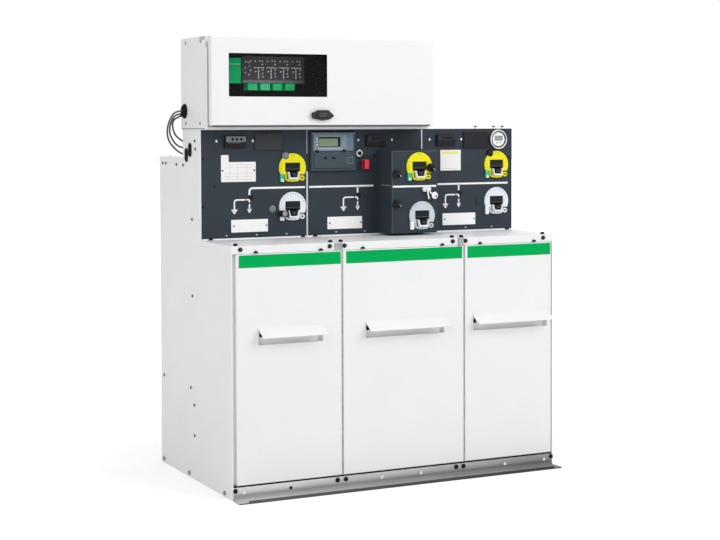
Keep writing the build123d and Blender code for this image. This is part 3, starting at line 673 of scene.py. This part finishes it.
# Trim on the edges where the panels meet, painted pale as a highlight and dull as shade, at their foot and at
# the right end
painted_highlight_grey = coated("painted_highlight_grey", (0.72, 0.74, 0.76), 0.4, 0.5, 900, 0.1, 0.03)
painted_shade_grey = coated("painted_shade_grey", (0.33, 0.345, 0.36), 0.4, 0.5, 900, 0.1, 0.03)
piece("panel_trims", [
    (slab((4.6, 214, 0.6), 1.6, 0.4), on_panel(375, 897), painted_highlight_grey),
    (slab((3.4, 78, 0.6), 1.2, 0.4), on_panel(375, 1101), painted_shade_grey),
    (slab((4.4, 66, 0.6), 1.6, 0.4), on_panel(806, 1106), painted_highlight_grey),
])
FOOT_ZS = (STRIP_TOP, 790.6)
EDGE_ZS = (FOOT_ZS[1], span("left_mimic_panel")[2][1])
foot_strip = slab((RIGHT_X - 8, extent(FOOT_ZS), 0.4), 1)
edge_strip = slab((4.4, extent(EDGE_ZS), 0.4), 1.4)
piece("panel_foot_strip", [(foot_strip, on_panel(RIGHT_X / 2, middle(FOOT_ZS)), white_paint)])
piece("panel_right_edge", [(edge_strip, on_panel(RIGHT_X - 2.3, middle(EDGE_ZS)), slate_paint)])

# Operating dials
DIAL_R = 48.0
SWITCH_TICKS = (83, 96, 160, 171, 182, 193, 203)
EARTH_TICKS = tuple(range(24, 160, 13))
dial_rim = ring_points(DIAL_R, 0, 0, 72, -27.3, 207.3)
dial_foot = [(-27, -22), (-27, -33)] + ring_points(11, -16, -33, 8, 180, 270)
dial_foot += ring_points(11, 16, -33, 8, 270, 360) + [(27, -33), (27, -22)]
opening = [(-26.5, 17), (27, 17), (27, -11), (22.5, -13), (20, -37), (-20, -37), (-22.5, -13), (-26.5, -11)]
dial_plate = cut_plate([dial_rim + dial_foot, opening], 6, 1, 3)
dial_back = cut_plate([[(-28, 18), (28, 18), (28, -12), (22, -39), (-22, -39), (-28, -12)]], 2.2, 0.2)
drum = slab((49, 25, 2.5), 5.2, 1.4, 3)
drum_groove = slab((46, 1.6, 0.4), 0.5, 0.15, 1)
bracket_outline = [(-19.5, -13), (-16.8, -13), (-12.3, -31.5), (13.2, -31.5), (17.3, -13), (20, -13),
                   (15.4, -37), (-14.6, -37)]
lever_bracket = cut_plate([bracket_outline], 15.8, 0.7)
lever_core = cut_plate([[(-9, -14), (15.5, -14), (11.8, -30.5), (-4.5, -30.5)]], 10.5, 1.2)
lever_slot = slab((11, 3, 1), 0.6, 0.15, 1)
tag = slab((14, 26, 1.4), 7, 1, 3)
tag_mark = slab((8.5, 8, 0.8), 0.5, 0.15, 1)
ear = turned([(8.6, 0), (8.6, 6.6), (7.7, 7.8), (4.6, 8.2), (3.6, 7.6), (3.4, 4), (0, 4)], 36)
ear_hollow_shade = turned([(3.3, 0), (3.3, 0.2), (0, 0.2)], 20)
lip_route = [(-25.5, -30), (-23, -38), (-16, -43), (0, -44.2), (16, -43), (23, -38), (25.5, -30)]
dial_lip = cut_plate([stroke_points(lip_route, 3.2)], 9, 1, 3)
tick = slab((2.4, 6, 0.6), 0.4, 0.1, 1)
warm_grey = coated("warm_grey", (0.055, 0.058, 0.062), 0.4, 0.55, 500, 0.15, 0.1)
# Painted shade: a darker copy of the pale plastic, for the middle earth dial
pale_plastic_painted_shade = coated("pale_plastic_painted_shade", (0.58, 0.64, 0.675), 0.34, 0.46, 500, 0.08, 0.08)
tag_green = coated("tag_green", (0.03, 0.48, 0.26), 0.35, 0.45, 500, 0.08, 0.05)
scale_grey = coated("scale_grey", (0.42, 0.46, 0.50), 0.4, 0.5, 500, 0.08, 0.05)
scale_green = coated("scale_green", (0.30, 0.52, 0.03), 0.4, 0.5, 500, 0.08, 0.05, **DULL)


def dial_piece(name, colour, tag_colour, tick_colour, ticks):
    xs, ys, zs = span(name)
    here = front(middle(xs), ys[1], zs[1] - DIAL_R)
    # Painted shade behind the dial's opening and in the ear's hollow
    shapes = [
        (dial_plate, (0, 0, 0), colour), (dial_back, (0, 0, 0), hollow_painted_shade),
        (drum, (0.2, 3, 0.4), black_plastic), (drum_groove, (0.2, -4, 5.4), warm_grey),
        (lever_bracket, (0, 0, 2), line_white),
        (lever_core, (0, 0, 2), black_plastic), (lever_slot, (3, -22, 12.3), warm_grey),
        (tag, (-37.5, -33, 0), tag_colour), (tag_mark, (-36.5, -41, 6.8), line_white),
        (ear, (34, -34, 0), colour), (ear_hollow_shade, (34, -34, 4), hollow_painted_shade), (dial_lip, (0, 0, 0), colour),
    ]
    parts = [(shape, here @ Matrix.Translation(shift), material) for shape, shift, material in shapes]
    for angle in ticks:
        spin = Matrix.Rotation(math.radians(angle - 90), 4, "Z")
        parts.append((tick, here @ spin @ Matrix.Translation((0, DIAL_R - 6.5, 5.9)), tick_colour))
    piece(name + "_face", parts, stands_for=[name])


for side in COLUMNS:
    dial_piece(side + "_switch_dial", looks["yellow_plastic"],
               tag_green, scale_green, SWITCH_TICKS)
    # The middle earth dial gets the pale plastic with painted shade
    pale = pale_plastic_painted_shade if side == "middle" else looks["white_plastic"]
    dial_piece(side + "_earth_dial", pale, line_white, scale_grey, EARTH_TICKS)

# Lock in place of the left earth dial's tag
lock_xs, _, lock_zs = span("left_earth_dial")
lock_x, lock_z = middle(lock_xs) - 34, lock_zs[1] - DIAL_R - 23
lock_core = turned([(8.6, 0), (8.6, 4.6), (7.6, 5.8), (6, 6), (5.6, 5.2), (0, 5.2)], 36)
piece("left_earth_lock", [
    (slab((29, 20, 3), 11, 1.6, 3), on_panel(lock_x, lock_z, 6.5), black_steel),
    (lock_core, on_panel(lock_x - 1, lock_z, 17.2), worn_steel),
    # Painted shade in the keyway
    (slab((1.8, 8, 0.6), 0.4, 0.1, 1), on_panel(lock_x - 1, lock_z, 22.2, 20), hollow_painted_shade),
])

# Protection relay: screen, lamps, keys and flap details
RELAY_XS, RELAY_YS, RELAY_ZS = span("relay")
_, FLAP_YS, FLAP_ZS = span("relay_flap")
relay_face = coated("relay_face", (0.215, 0.280, 0.335), 0.45, 0.55, 700, 0.12, 0.05, **DULL)
relay_light = coated("relay_light", (0.172, 0.232, 0.290), 0.45, 0.55, 700, 0.12, 0.05, **DULL)
relay_pale = coated("relay_frame", (0.37, 0.42, 0.47), 0.4, 0.5, 700, 0.12, 0.05, **DULL)
screen_glass = coated("screen_glass", (0.243, 0.310, 0.215), 0.2, 0.3, 300, 0.02, 0.05, **DULL)
lamp_white = coated("lamp_white", (0.85, 0.87, 0.88), 0.2, 0.3, 300, 0.02, 0.02)
relay_x, keys_x, face_y = middle(RELAY_XS), RELAY_XS[0] + 123, RELAY_YS[0] + 3
screen_x, screen_z = RELAY_XS[0] + 66.5, RELAY_ZS[1] - 32
upper_z = middle((FLAP_ZS[1] + 2, RELAY_ZS[1] - 7))
upper_size = (extent(RELAY_XS) - 15, RELAY_ZS[1] - FLAP_ZS[1] - 10, 2)
screen_hole = (79.5, 32.5, 1.5, screen_x - relay_x, screen_z - upper_z)
top_strip = slab((extent(RELAY_XS) - 4, 5.6, 1), 0.4, 0.1, 1)
relay_parts = [
    (rim(upper_size, screen_hole, 1), front(relay_x, face_y, upper_z), relay_face),
    # Painted shade round the screen, in its recess
    (slab((78.4, 31.4, 1), 1.4, 0.2), front(screen_x, face_y + 3, screen_z), hollow_painted_shade),
    (slab((70, 26, 0.8), 0.5, 0.12, 1), front(screen_x - 2.5, face_y + 1.6, screen_z - 1.5), screen_glass),
    (rim((11, 38, 5.5), (7.6, 34.6, 3.8), 1), front(keys_x, face_y - 0.8, screen_z + 1), relay_pale),
    (slab((92, 6, 1.5), 1.6, 0.4), front(screen_x + 2, face_y, screen_z - 22), relay_pale),
    (slab((25, 50, 2), 1.4, 0.4), front(RELAY_XS[1] - 20.5, face_y, screen_z - 3), relay_light),
    (top_strip, front(relay_x, RELAY_YS[0], RELAY_ZS[1] - 4.2), relay_light),
]
for shift in (11, 1, -9):
    relay_parts.append((key_dot, front(screen_x - 46, face_y - 0.8, screen_z + shift), lamp_white))
for shift in (12, 4, -4, -12):
    relay_parts.append((key_dot, front(keys_x, face_y - 0.8, screen_z + 1 + shift), relay_pale))
piece("relay_face", relay_parts)
knuckle = turned([(5.2, 0), (5.2, 3), (4.2, 4.4), (0, 5)], 28)
dimple = cut_plate([[(-6, 3), (2, 4), (6, 0), (3, -4), (-1, -1), (-5, -1)]], 1.2, 0.4)
flap_parts = [(knuckle, front(RELAY_XS[0] + shift, FLAP_YS[0] + 2, FLAP_ZS[1] + up), black_steel)
              for shift, up in ((20, 1), (119, 2))]
dimple_xs = (RELAY_XS[0] + 49, RELAY_XS[0] + 80)
# Painted shade in the flap's two dimples
flap_parts += row(dimple, dimple_xs, FLAP_YS[0] + 0.5, FLAP_ZS[1] - 22, hollow_painted_shade)
flap_parts.append((rim((21, 22, 1), (17, 18, 0.8), 0.9, 0.25),
                   front(RELAY_XS[1] - 22, FLAP_YS[0] + 0.3, FLAP_ZS[0] + 26), relay_light))
piece("relay_flap_details", flap_parts)

# Ring knob and trip button
xs, ys, zs = span("ring_knob")
x, y, z = middle(xs), ys[1], middle(zs)
ring = turned([(12.2, 0), (12.2, 9.5), (11.4, 11.4), (9.8, 12), (8.4, 11.2), (7.6, 8.4), (0, 8.4)], 48)
knob_core = turned([(6.6, 0), (6.6, 2.2), (5.4, 3.2), (0, 3.4)], 36)
piece("ring_knob_face", [(ring, front(x, y, z), zinc), (knob_core, front(x + 1.2, y - 8.2, z), black_steel)],
      stands_for=["ring_knob"])
xs, ys, zs = span("trip_button")
x, y, z = middle(xs), ys[0], middle(zs)
shadow_red = coated("shadow_red", (0.10, 0.006, 0.013), 0.4, 0.5, 500, 0.08, 0.05, **DULL)
piece("trip_button_cap", [
    (rim((19.4, 30.4, 2), (14, 25, 1.6), 1, 0.35), front(x, y + 0.2, z), looks["red_plastic"]),
    (slab((13.2, 24.2, 1.4), 0.5, 0.2), front(x, y + 0.2, z), looks["red_plastic"]),
], body="trip_button")
# Painted shadow: a dark red strip for the shaded left side of the button
piece("trip_button_side_shadow", [(slab((6.6, 31, 1), 2.2, 0.6), front(xs[0] + 0.3, y + 0.1, z), shadow_red)],
      body="trip_button")
piece("trip_button_guard", [(rim((37, 46, 2.5), (33, 42, 1.5), 2.4, 0.6), on_panel(x, z), slate_paint)])

# Voltage indicators: label, lamps and lower keys; blank covers with a raised rim
indicator_label = coated("indicator_label", (0.22, 0.235, 0.245), 0.4, 0.5, 300, 0.05, 0.08, **DULL)
dim_label = coated("dim_label", (0.030, 0.032, 0.035), 0.45, 0.55, 300, 0.05, 0.08, **DULL)
lamp = turned([(4.6, 0), (4.6, 0.8), (4, 1.6), (3, 1.2), (2.4, 0.7), (0, 0.9)], 28)
label, label_rule = slab((68, 18, 1), 0.5, 0.15), slab((46, 1.4), 0.3, 0.05, 0)
lower_key = slab((11, 8, 1), 0.8)
for side in COLUMNS:
    xs, ys, zs = span(side + "_voltage_indicator")
    x, y, z = middle(xs), ys[0], middle(zs)
    face = indicator_label if side == "left" else dim_label
    parts = [(label, front(x + 2, y, z + 8.5), face)]
    parts += row(lamp, (x - 10, x + 5, x + 20), y - 0.4, z + 8, black_steel)
    parts += row(lower_key, (x - 22, x - 7, x + 8, x + 23), y, z - 10, black_plastic)
    parts.append((label_rule, front(x - 4, y, z - 3), face))
    piece(side + "_indicator_face", parts)
for side in ENDS:
    xs, ys, zs = span(side + "_blank_cover")
    wide, tall = extent(xs), extent(zs)
    cover_rim = rim((wide - 8, tall - 8, 3), (wide - 12, tall - 12, 2), 0.8, 0.25)
    place = front(middle(xs), ys[0] + 0.2, middle(zs))
    piece(side + "_cover_rim", [(cover_rim, place, own_looks[side + "_blank_cover"])])

# Gas pressure gauge
xs, ys, zs = span("pressure_gauge")
x, y, z = middle(xs), ys[1], middle(zs)
gauge_face_y = y - 13.1
shell = turned([(34, 0), (34, 12.5), (33.2, 14.6), (31.6, 15.8), (29.8, 15.6), (28.8, 14.2)], 72)
well = turned([(28.9, 14.2), (28, 10.6), (25.4, 10.4), (0, 10.4)], 72)
dial_face = turned([(24.6, 10.3), (24.6, 12.4), (23.8, 13.2), (0, 13.2)], 64)
crystal = coated("display_grey", (0.30, 0.33, 0.33), 0.15, 0.25, 300, 0.02, 0.05)
bezel = metal("gauge_bezel", (0.60, 0.60, 0.61), 0.22, 0.36, (1, 1, 6))
piece("pressure_gauge_face", [
    (shell, front(x, y, z), bezel),
    (well, front(x, y, z), black_steel),
    (dial_face, front(x, y, z), plate_white),
    (rim((31, 17, 1.5), (27.5, 13.5, 0.8), 0.8, 0.25), front(x, gauge_face_y, z + 4), grey_plastic),
    (slab((27.2, 13.2, 0.8), 0.4, 0.1), front(x, gauge_face_y, z + 4), crystal),
] + row(key_dot, (x - 6.5, x + 6.5), gauge_face_y, z - 12, grey_plastic),
      stands_for=["pressure_gauge"])

# Motor box: winged knobs, painted highlights on the edges and wing tips, key lock with its key
WING_TURN = -45
wing_base = turned([(14.6, 0), (14.6, 6), (13.6, 8), (11, 8.7), (0, 8.9)], 48)
wing = slab((25, 7.6, 3.6), 11, 2, 3)
tip_highlight = slab((9, 1.6, 0.5), 0.4, 0.1, 1)
tall = extent(MOTOR_ZS)
knobs = [(MOTOR_XS[0] + 18.6, MOTOR_Y, MOTOR_ZS[0] + tall * share) for share in (0.36, 0.72)]
knobs.append((780, MOTOR_Y - 6.2, 1012))
knob_parts = []
for x, y, z in knobs:
    knob_parts.append((wing_base, front(x, y, z), black_plastic))
    knob_parts.append((wing, front(x, y - 8.4, z, WING_TURN), black_plastic))
    tip = front(x, y - 19.3, z, WING_TURN) @ Matrix.Translation((8, 0, 0))
    # Painted highlight on the tip of each wing
    knob_parts.append((tip_highlight, tip, painted_highlight_grey))
piece("winged_knobs", knob_parts)
edge_highlight_grey = coated("edge_highlight_grey", (0.115, 0.130, 0.145), 0.45, 0.55, 700, 0.12, 0.05, **DULL)
HIGHLIGHT_SHEET = (0.3, 0.08, 0)
# Painted highlights along the left and top front edges, and a grey seam on the left side
piece("motor_box_highlights_and_seam", [
    (slab((1.5, tall - 6), *HIGHLIGHT_SHEET), front(MOTOR_XS[0] + 2.6, MOTOR_Y, middle(MOTOR_ZS)), edge_highlight_grey),
    (slab((extent(MOTOR_XS) - 6, 1.3), *HIGHLIGHT_SHEET),
     front(middle(MOTOR_XS), MOTOR_Y, MOTOR_ZS[1] - 2.4), edge_highlight_grey),
    (slab((70, 4.4), *HIGHLIGHT_SHEET), on("left", MOTOR_XS[0], 202, 954), grey_plastic),
])
xs, ys, zs = span("key_lock")
x, y, z = middle(xs), ys[1], middle(zs)
lock_head = slab((30, 17, 8.4, 0, 0, 10), 12, 1.6, 3)
barrel = turned([(6.2, 0), (6.2, 2), (5.4, 2.8), (0, 2.9)], 32)
bow_outline = [(2, -3), (9, -8)] + ring_points(12, 19, -17, 26, 130, -200) + [(3, -10), (-1, -8)]
key_bow = cut_plate([bow_outline, ring_points(3.4, 24, -20, 18)], 3.2, 0.8)
key_shank = cut_plate([stroke_points([(0, 2), (2, -12), (4.5, -24), (7, -33)], 5.2)], 3, 0.7)
piece("key_lock_head", [
    (lock_head, front(x, y, z), looks["white_plastic"]),
    (barrel, front(x, y - 11.8, z), zinc),
    (key_shank, front(x - 2, y - 13.5, z), zinc),
    (key_bow, front(x + 6, y - 15.5, z - 4), zinc),
], stands_for=["key_lock"])

# Control cabinet: window seal, latch, edges, and dark strips of painted shade in the gaps at the door and
# under the cabinet
WINDOW_XS, _, WINDOW_ZS = span("lv_window")
DOOR_XS, DOOR_YS, DOOR_ZS = span("lv_door")
CABINET_Y = span("lv_top")[1][0]
open_w, open_h = extent(WINDOW_XS) - 16, extent(WINDOW_ZS) - 16
window_seal = rim((open_w + 1.6, open_h + 1.6, 2.4), (open_w - 2.4, open_h - 2.4, 1.2), 2, 0.6)
place = front(middle(WINDOW_XS), DOOR_YS[0] + 1.4, middle(WINDOW_ZS))
piece("window_seal", [(window_seal, place, seal_rubber)], body="lv_door")

xs, _, zs = span("lv_latch")
x, y, z = middle(xs), DOOR_YS[0], middle(zs)
half = extent(xs) / 2
eye = [(-half, 9), (-half + 9.5, 10.4)] + ring_points(5, -18.5, 11.9, 5, 150, 90)
eye += ring_points(5, 17, 11.9, 5, 90, 45) + [(half - 3, 1.6), (half, -1.2), (half - 3, -4)]
eye += ring_points(97.8, 0, 82, 12, -74, -106) + [(-half, -9.7)]
latch_grey = coated("latch_grey", (0.040, 0.041, 0.044), 0.45, 0.6, 700, 0.15, 0.15, **DULL)
latch_base = turned([(16.4, 0), (16.4, 4.6), (15.4, 6), (0, 6.2)], 56)
grip_highlight = slab((24, 2.4, 1), 0.4, 0.1, 1)
piece("latch_handle", [
    (latch_base, front(x, y - 0.6, z), black_plastic),
    (cut_plate([eye], 6.5, 1.6, 3), front(x, y - 5.6, z), latch_grey),
    (slab((46, 17, 7.5, 0, 0, 8), 5.5, 1.8, 3), front(x, y - 11, z + 1), latch_grey),
    # Painted highlights on the grip
    (grip_highlight, front(x, y - 16.4, z + 5), edge_highlight_grey),
    (grip_highlight, front(x - 4, y - 16.4, z - 2), edge_highlight_grey),
], body="lv_latch", stands_for=["lv_latch"])

sill = slab((790, 7.6, 1), 16, 0.8)
edge_cover = slab((15.6, 262, 1), 2.6, 0.4)
hinge_leaf = slab((46, 10, 1), 1.4, 0.4)
edge_parts = [(sill, front(middle(CABINET_XS), CABINET_Y, 1146.9), white_paint)]
edge_parts += both_ends(edge_cover, CABINET_XS, CABINET_Y - 7.8, 1274, white_paint, inset=2.8)
edge_parts += both_ends(hinge_leaf, CABINET_XS, 240, 1434, faint)
piece("cabinet_edges", edge_parts)
# Painted shade: dark strips for the gaps beside the door, and a painted shadow along the seam under the
# cabinet
side_gap_shade = slab((9.6, 250, 0.6), 3.4, 0.4)
foot_seam_shadow = slab((212, 2.8, 0.5), 0.5, 0.15)
seal_parts = row(side_gap_shade, (CABINET_XS[0] + 11, CABINET_XS[1] - 11), CABINET_Y - 20.6, 1284, seal_rubber)
seal_parts += both_ends(foot_seam_shadow, CABINET_XS, 327, 1145.6, grey_plastic)
piece("cabinet_gap_shades", seal_parts)
# Painted shadow: a dark strip for the shaded gap below the door's bottom edge
gap_shade_strip = slab((extent(DOOR_XS) - 16, 4.8, 0.6), 5, 0.6)
place = front(middle(DOOR_XS) - 2, DOOR_YS[0] + 6.4, DOOR_ZS[0] - 2.2)
piece("door_foot_gap_shade", [(gap_shade_strip, place, warm_grey)], body="lv_door")

# Behind the window: control unit, terminals, connector and mounting board
COLUMN_DOTS = ((6, 52), (16, 50), (16, 60), (16, 70), (30, 28), (31, 46), (30, 58), (31, 68), (4, 18),
               (20, 17), (30, 18))
EDGE_DOTS = ((17, 20), (26, 22), (34, 18), (30, 34), (34, 48), (28, 62), (15, 40), (16, 56))
xs, ys, zs = span("lv_control_unit")
unit_x, unit_y, unit_top = middle(xs), ys[0], zs[1]
thin_line = coated("thin_line", (0.86, 0.87, 0.88), 0.4, 0.5, 300, 0.04)
unit_grey = coated("unit_grey", (0.085, 0.083, 0.090), 0.5, 0.6, 700, 0.12, 0.08, **DULL)
bar, stem = slab((37, 2.4), 0.4, 0.08, 0), slab((2, 36), 0.4, 0.08, 0)


def unit_dots(x, places):
    return [(key_dot, front(x + shift, unit_y - 0.5, unit_top - drop), thin_line) for shift, drop in places]


unit_parts = [(slab((222, 80, 3), 0.8, 0.25), front(unit_x, unit_y, middle(zs) + 3), unit_grey)]
for column in range(4):
    left = xs[0] + 46 + column * 44.5
    unit_parts.append((bar, front(left + 18, unit_y - 0.7, unit_top - 39), thin_line))
    unit_parts.append((stem, front(left + 16, unit_y - 0.7, unit_top - 58), thin_line))
    unit_parts += unit_dots(left, COLUMN_DOTS)
unit_parts += unit_dots(xs[0], EDGE_DOTS)
unit_parts.append((slab((220, 10, 1), 2.2, 0.5), front(unit_x, unit_y, zs[0] + 6), grey_plastic))
piece("control_unit_face", unit_parts)

xs, ys, zs = span("lv_terminals")
pale_green = coated("pale_green", (0.11, 0.92, 0.47), 0.45, 0.55, 500, 0.1, 0.06, **MATT)
mid_green = coated("mid_green", (0.045, 0.85, 0.34), 0.45, 0.55, 500, 0.1, 0.06, **MATT)
block, slit = slab((33.5, 20, 1.2), 2, 0.6), slab((1.4, 17, 0.5), 0.5, 0.15, 1)
terminal_parts = []
for i in range(4):
    left = xs[0] + i * 44.6
    green = pale_green if i == 1 else mid_green
    terminal_parts.append((block, front(left + 16.75, ys[0], middle(zs) - 0.5), green))
    slit_xs = [left + 5 + step * 7.9 for step in range(4)]
    terminal_parts += row(slit, slit_xs, ys[0] - 1.9, middle(zs), looks["green_plastic"])
piece("terminal_faces", terminal_parts)
xs, ys, zs = span("lv_connector")
x, wide = middle(xs), extent(xs)
piece("connector_face", [
    (slab((wide - 4, 2.2, 0.6), 1), front(x, ys[0], zs[1] - 20), thin_line),
    (slab((wide - 9, 44, 2), 1.2, 0.5), front(x + 1, ys[0], zs[0] + 32), looks["green_plastic"]),
])
xs, ys, zs = span("lv_back")
board_parts = [(slab((740, 250, 4), 3, 0.6), front(middle(xs), ys[0], middle(zs)), black_plastic)]
for u in (-355, 355):
    for v in (-112, 112):
        board_parts.append((pan_screw, front(middle(xs) + u, ys[0] - 3, middle(zs) + v), zinc))
piece("mounting_board", board_parts)

# Hinge caps on the ends of the pins
cap = turned([(7.5, 0), (7.5, 1.6), (6.2, 3), (0, 3.4)], 32)
cap_parts = both_ends(cap, CABINET_XS, DOOR_YS[1] - 9, DOOR_ZS[1] - 10, white_paint)
piece("hinge_caps", cap_parts)

# Rubber plugs and grommet on the left side
plug_foot = slab((27, 46, 13.4, 0, 0, 12), 3, 1.2, 3)
plug_dome = slab((17, 36, 8.4, 0, 0, 12), 4.2, 1.4, 3)
plug_ring = rim((22.5, 41.5, 11.2, 0, 0, 12), (20, 39, 9.9, 0, 0, 12), 3.6, 0.5)
for name in ("front_oval_plug", "rear_oval_plug"):
    xs, ys, zs = span(name)
    place = on("left", xs[1], middle(ys), middle(zs))
    plug_looks = ((plug_foot, seal_rubber), (plug_dome, seal_rubber), (plug_ring, dim_label))
    piece(name + "_rubber", [(shape, place, material) for shape, material in plug_looks],
          stands_for=[name])
xs, ys, zs = span("lv_grommet")
gland = turned([(24, 0), (24, 2.6), (23, 4), (20.4, 4.6), (19.4, 6.2), (18, 8.6), (15.4, 9.8),
                (12, 10), (0, 10)], 56)
collar = turned([(5.4, 0), (5, 2.4), (4.2, 3.4), (3.2, 3.6)], 28)
grommet_parts = [(gland, on("left", xs[1], middle(ys), middle(zs)), seal_rubber)]
for route in cable_routes.values():
    _, y, z = route[0]
    grommet_parts.append((collar, on("left", xs[0], y, z), seal_rubber))
piece("grommet_rubber", grommet_parts, stands_for=["lv_grommet"])

# Fixings on the top, the back and the lids
TOP_Z = span("housing_top")[2][1]
REAR_TOP, BACK_Y = span("top_cover")[2][1], span("rear_panel")[1][1]
CABINET_BACK, CABINET_TOP = span("lv_back")[1][1], span("lv_top")[2][1]
lid_bolts = []
for x in (1039, 1113, 1149):
    lid_bolts.append((bush, on("top", x, 300, TOP_Z), white_paint))
    lid_bolts.append((low_boss, on("top", x, 300, TOP_Z + 5.9), black_steel))
piece("housing_top_bolts", lid_bolts)
rear_parts = [(pan_screw, on("top", x, y, REAR_TOP), zinc)
              for x in (30, 398, 768, 1136) for y in (448, 636)]
rear_parts += [(pan_screw, on("back", x, BACK_Y, z), zinc)
               for x in (22, 396, 770, 1144) for z in (70, 540, 1020)]
rear_parts += [(small_screw, on("back", x, CABINET_BACK, z), zinc)
               for x in (20, 400, 782) for z in (1160, 1424)]
rear_parts += [(small_screw, on("top", x, y, CABINET_TOP), zinc)
               for x in (18, 784) for y in (232, 424)]
piece("cover_screws", rear_parts)


# Stage: pale floor and soft studio light
def seen_ray(tree):
    """One for the rays that show the background: straight, mirrored or through glass."""
    path = add_node(tree, "LightPath")
    seen = path.outputs["Is Camera Ray"]
    for other in ("Is Glossy Ray", "Is Transmission Ray"):
        either = add_node(tree, "Math", "MAXIMUM")
        tree.links.new(seen, either.inputs[0])
        tree.links.new(path.outputs[other], either.inputs[1])
        seen = either.outputs[0]
    return seen


PURE_WHITE = (1, 1, 1, 1)
FLOOR = 40
floor_mesh = bpy.data.meshes.new("floor")
corners = [(u * FLOOR, v * FLOOR, 0) for u, v in ((-1, -1), (1, -1), (1, 1), (-1, 1))]
floor_mesh.from_pydata(corners, [], [(0, 1, 2, 3)])
floor = bpy.data.objects.new("floor", floor_mesh)
scene.collection.objects.link(floor)
pale_floor = Look("pale_floor", roughness=0.9, Base_Color=(0.82, 0.82, 0.82, 1), Specular_IOR_Level=0.0)
tree, link = pale_floor.tree, pale_floor.link
reach = add_node(tree, "VectorMath", "LENGTH")
link(pale_floor.place, reach.inputs[0])
lift = add_node(tree, "Math", "MULTIPLY")
link(seen_ray(tree), lift.inputs[0])
link(pale_floor.ranged(reach.outputs["Value"], 0.8, 3.5, 0.35, 1.0), lift.inputs[1])
glow = add_node(tree, "Emission", Color=PURE_WHITE)
link(lift.outputs[0], glow.inputs["Strength"])
total = add_node(tree, "AddShader")
link(pale_floor.shader.outputs[0], total.inputs[0])
link(glow.outputs[0], total.inputs[1])
link(total.outputs[0], tree.nodes["Material Output"].inputs["Surface"])
floor_mesh.materials.append(pale_floor.material)

world = bpy.data.worlds.new("studio")
scene.world = world
world.use_nodes = True
tree = world.node_tree
link = tree.links.new
ambient = tree.nodes["Background"]
set_sockets(ambient, {"Color": PURE_WHITE, "Strength": 0.53})
backdrop = add_node(tree, "Background", Color=PURE_WHITE, Strength=1.0)
mix = add_node(tree, "MixShader")
link(seen_ray(tree), mix.inputs["Fac"])
link(ambient.outputs[0], mix.inputs[1])
link(backdrop.outputs[0], mix.inputs[2])
link(mix.outputs[0], tree.nodes["World Output"].inputs["Surface"])

SOFTBOX_SIZE = 3.0


def softbox(name, place, target, power):
    light = bpy.data.lights.new(name, "AREA")
    light.shape = "SQUARE"
    light.size = SOFTBOX_SIZE
    light.energy = power
    holder = bpy.data.objects.new(name, light)
    holder.location = place
    holder.rotation_euler = (Vector(target) - Vector(place)).to_track_quat("-Z", "Y").to_euler()
    scene.collection.objects.link(holder)


softbox("key_light", (2.6, -4.2, 3.6), (0.0, 0.0, 0.7), 118.0)
softbox("fill_light", (-3.6, -2.6, 2.6), (0.0, 0.0, 0.8), 46.0)
softbox("top_light", (0.2, 0.4, 4.2), (0.0, 0.0, 0.9), 36.0)
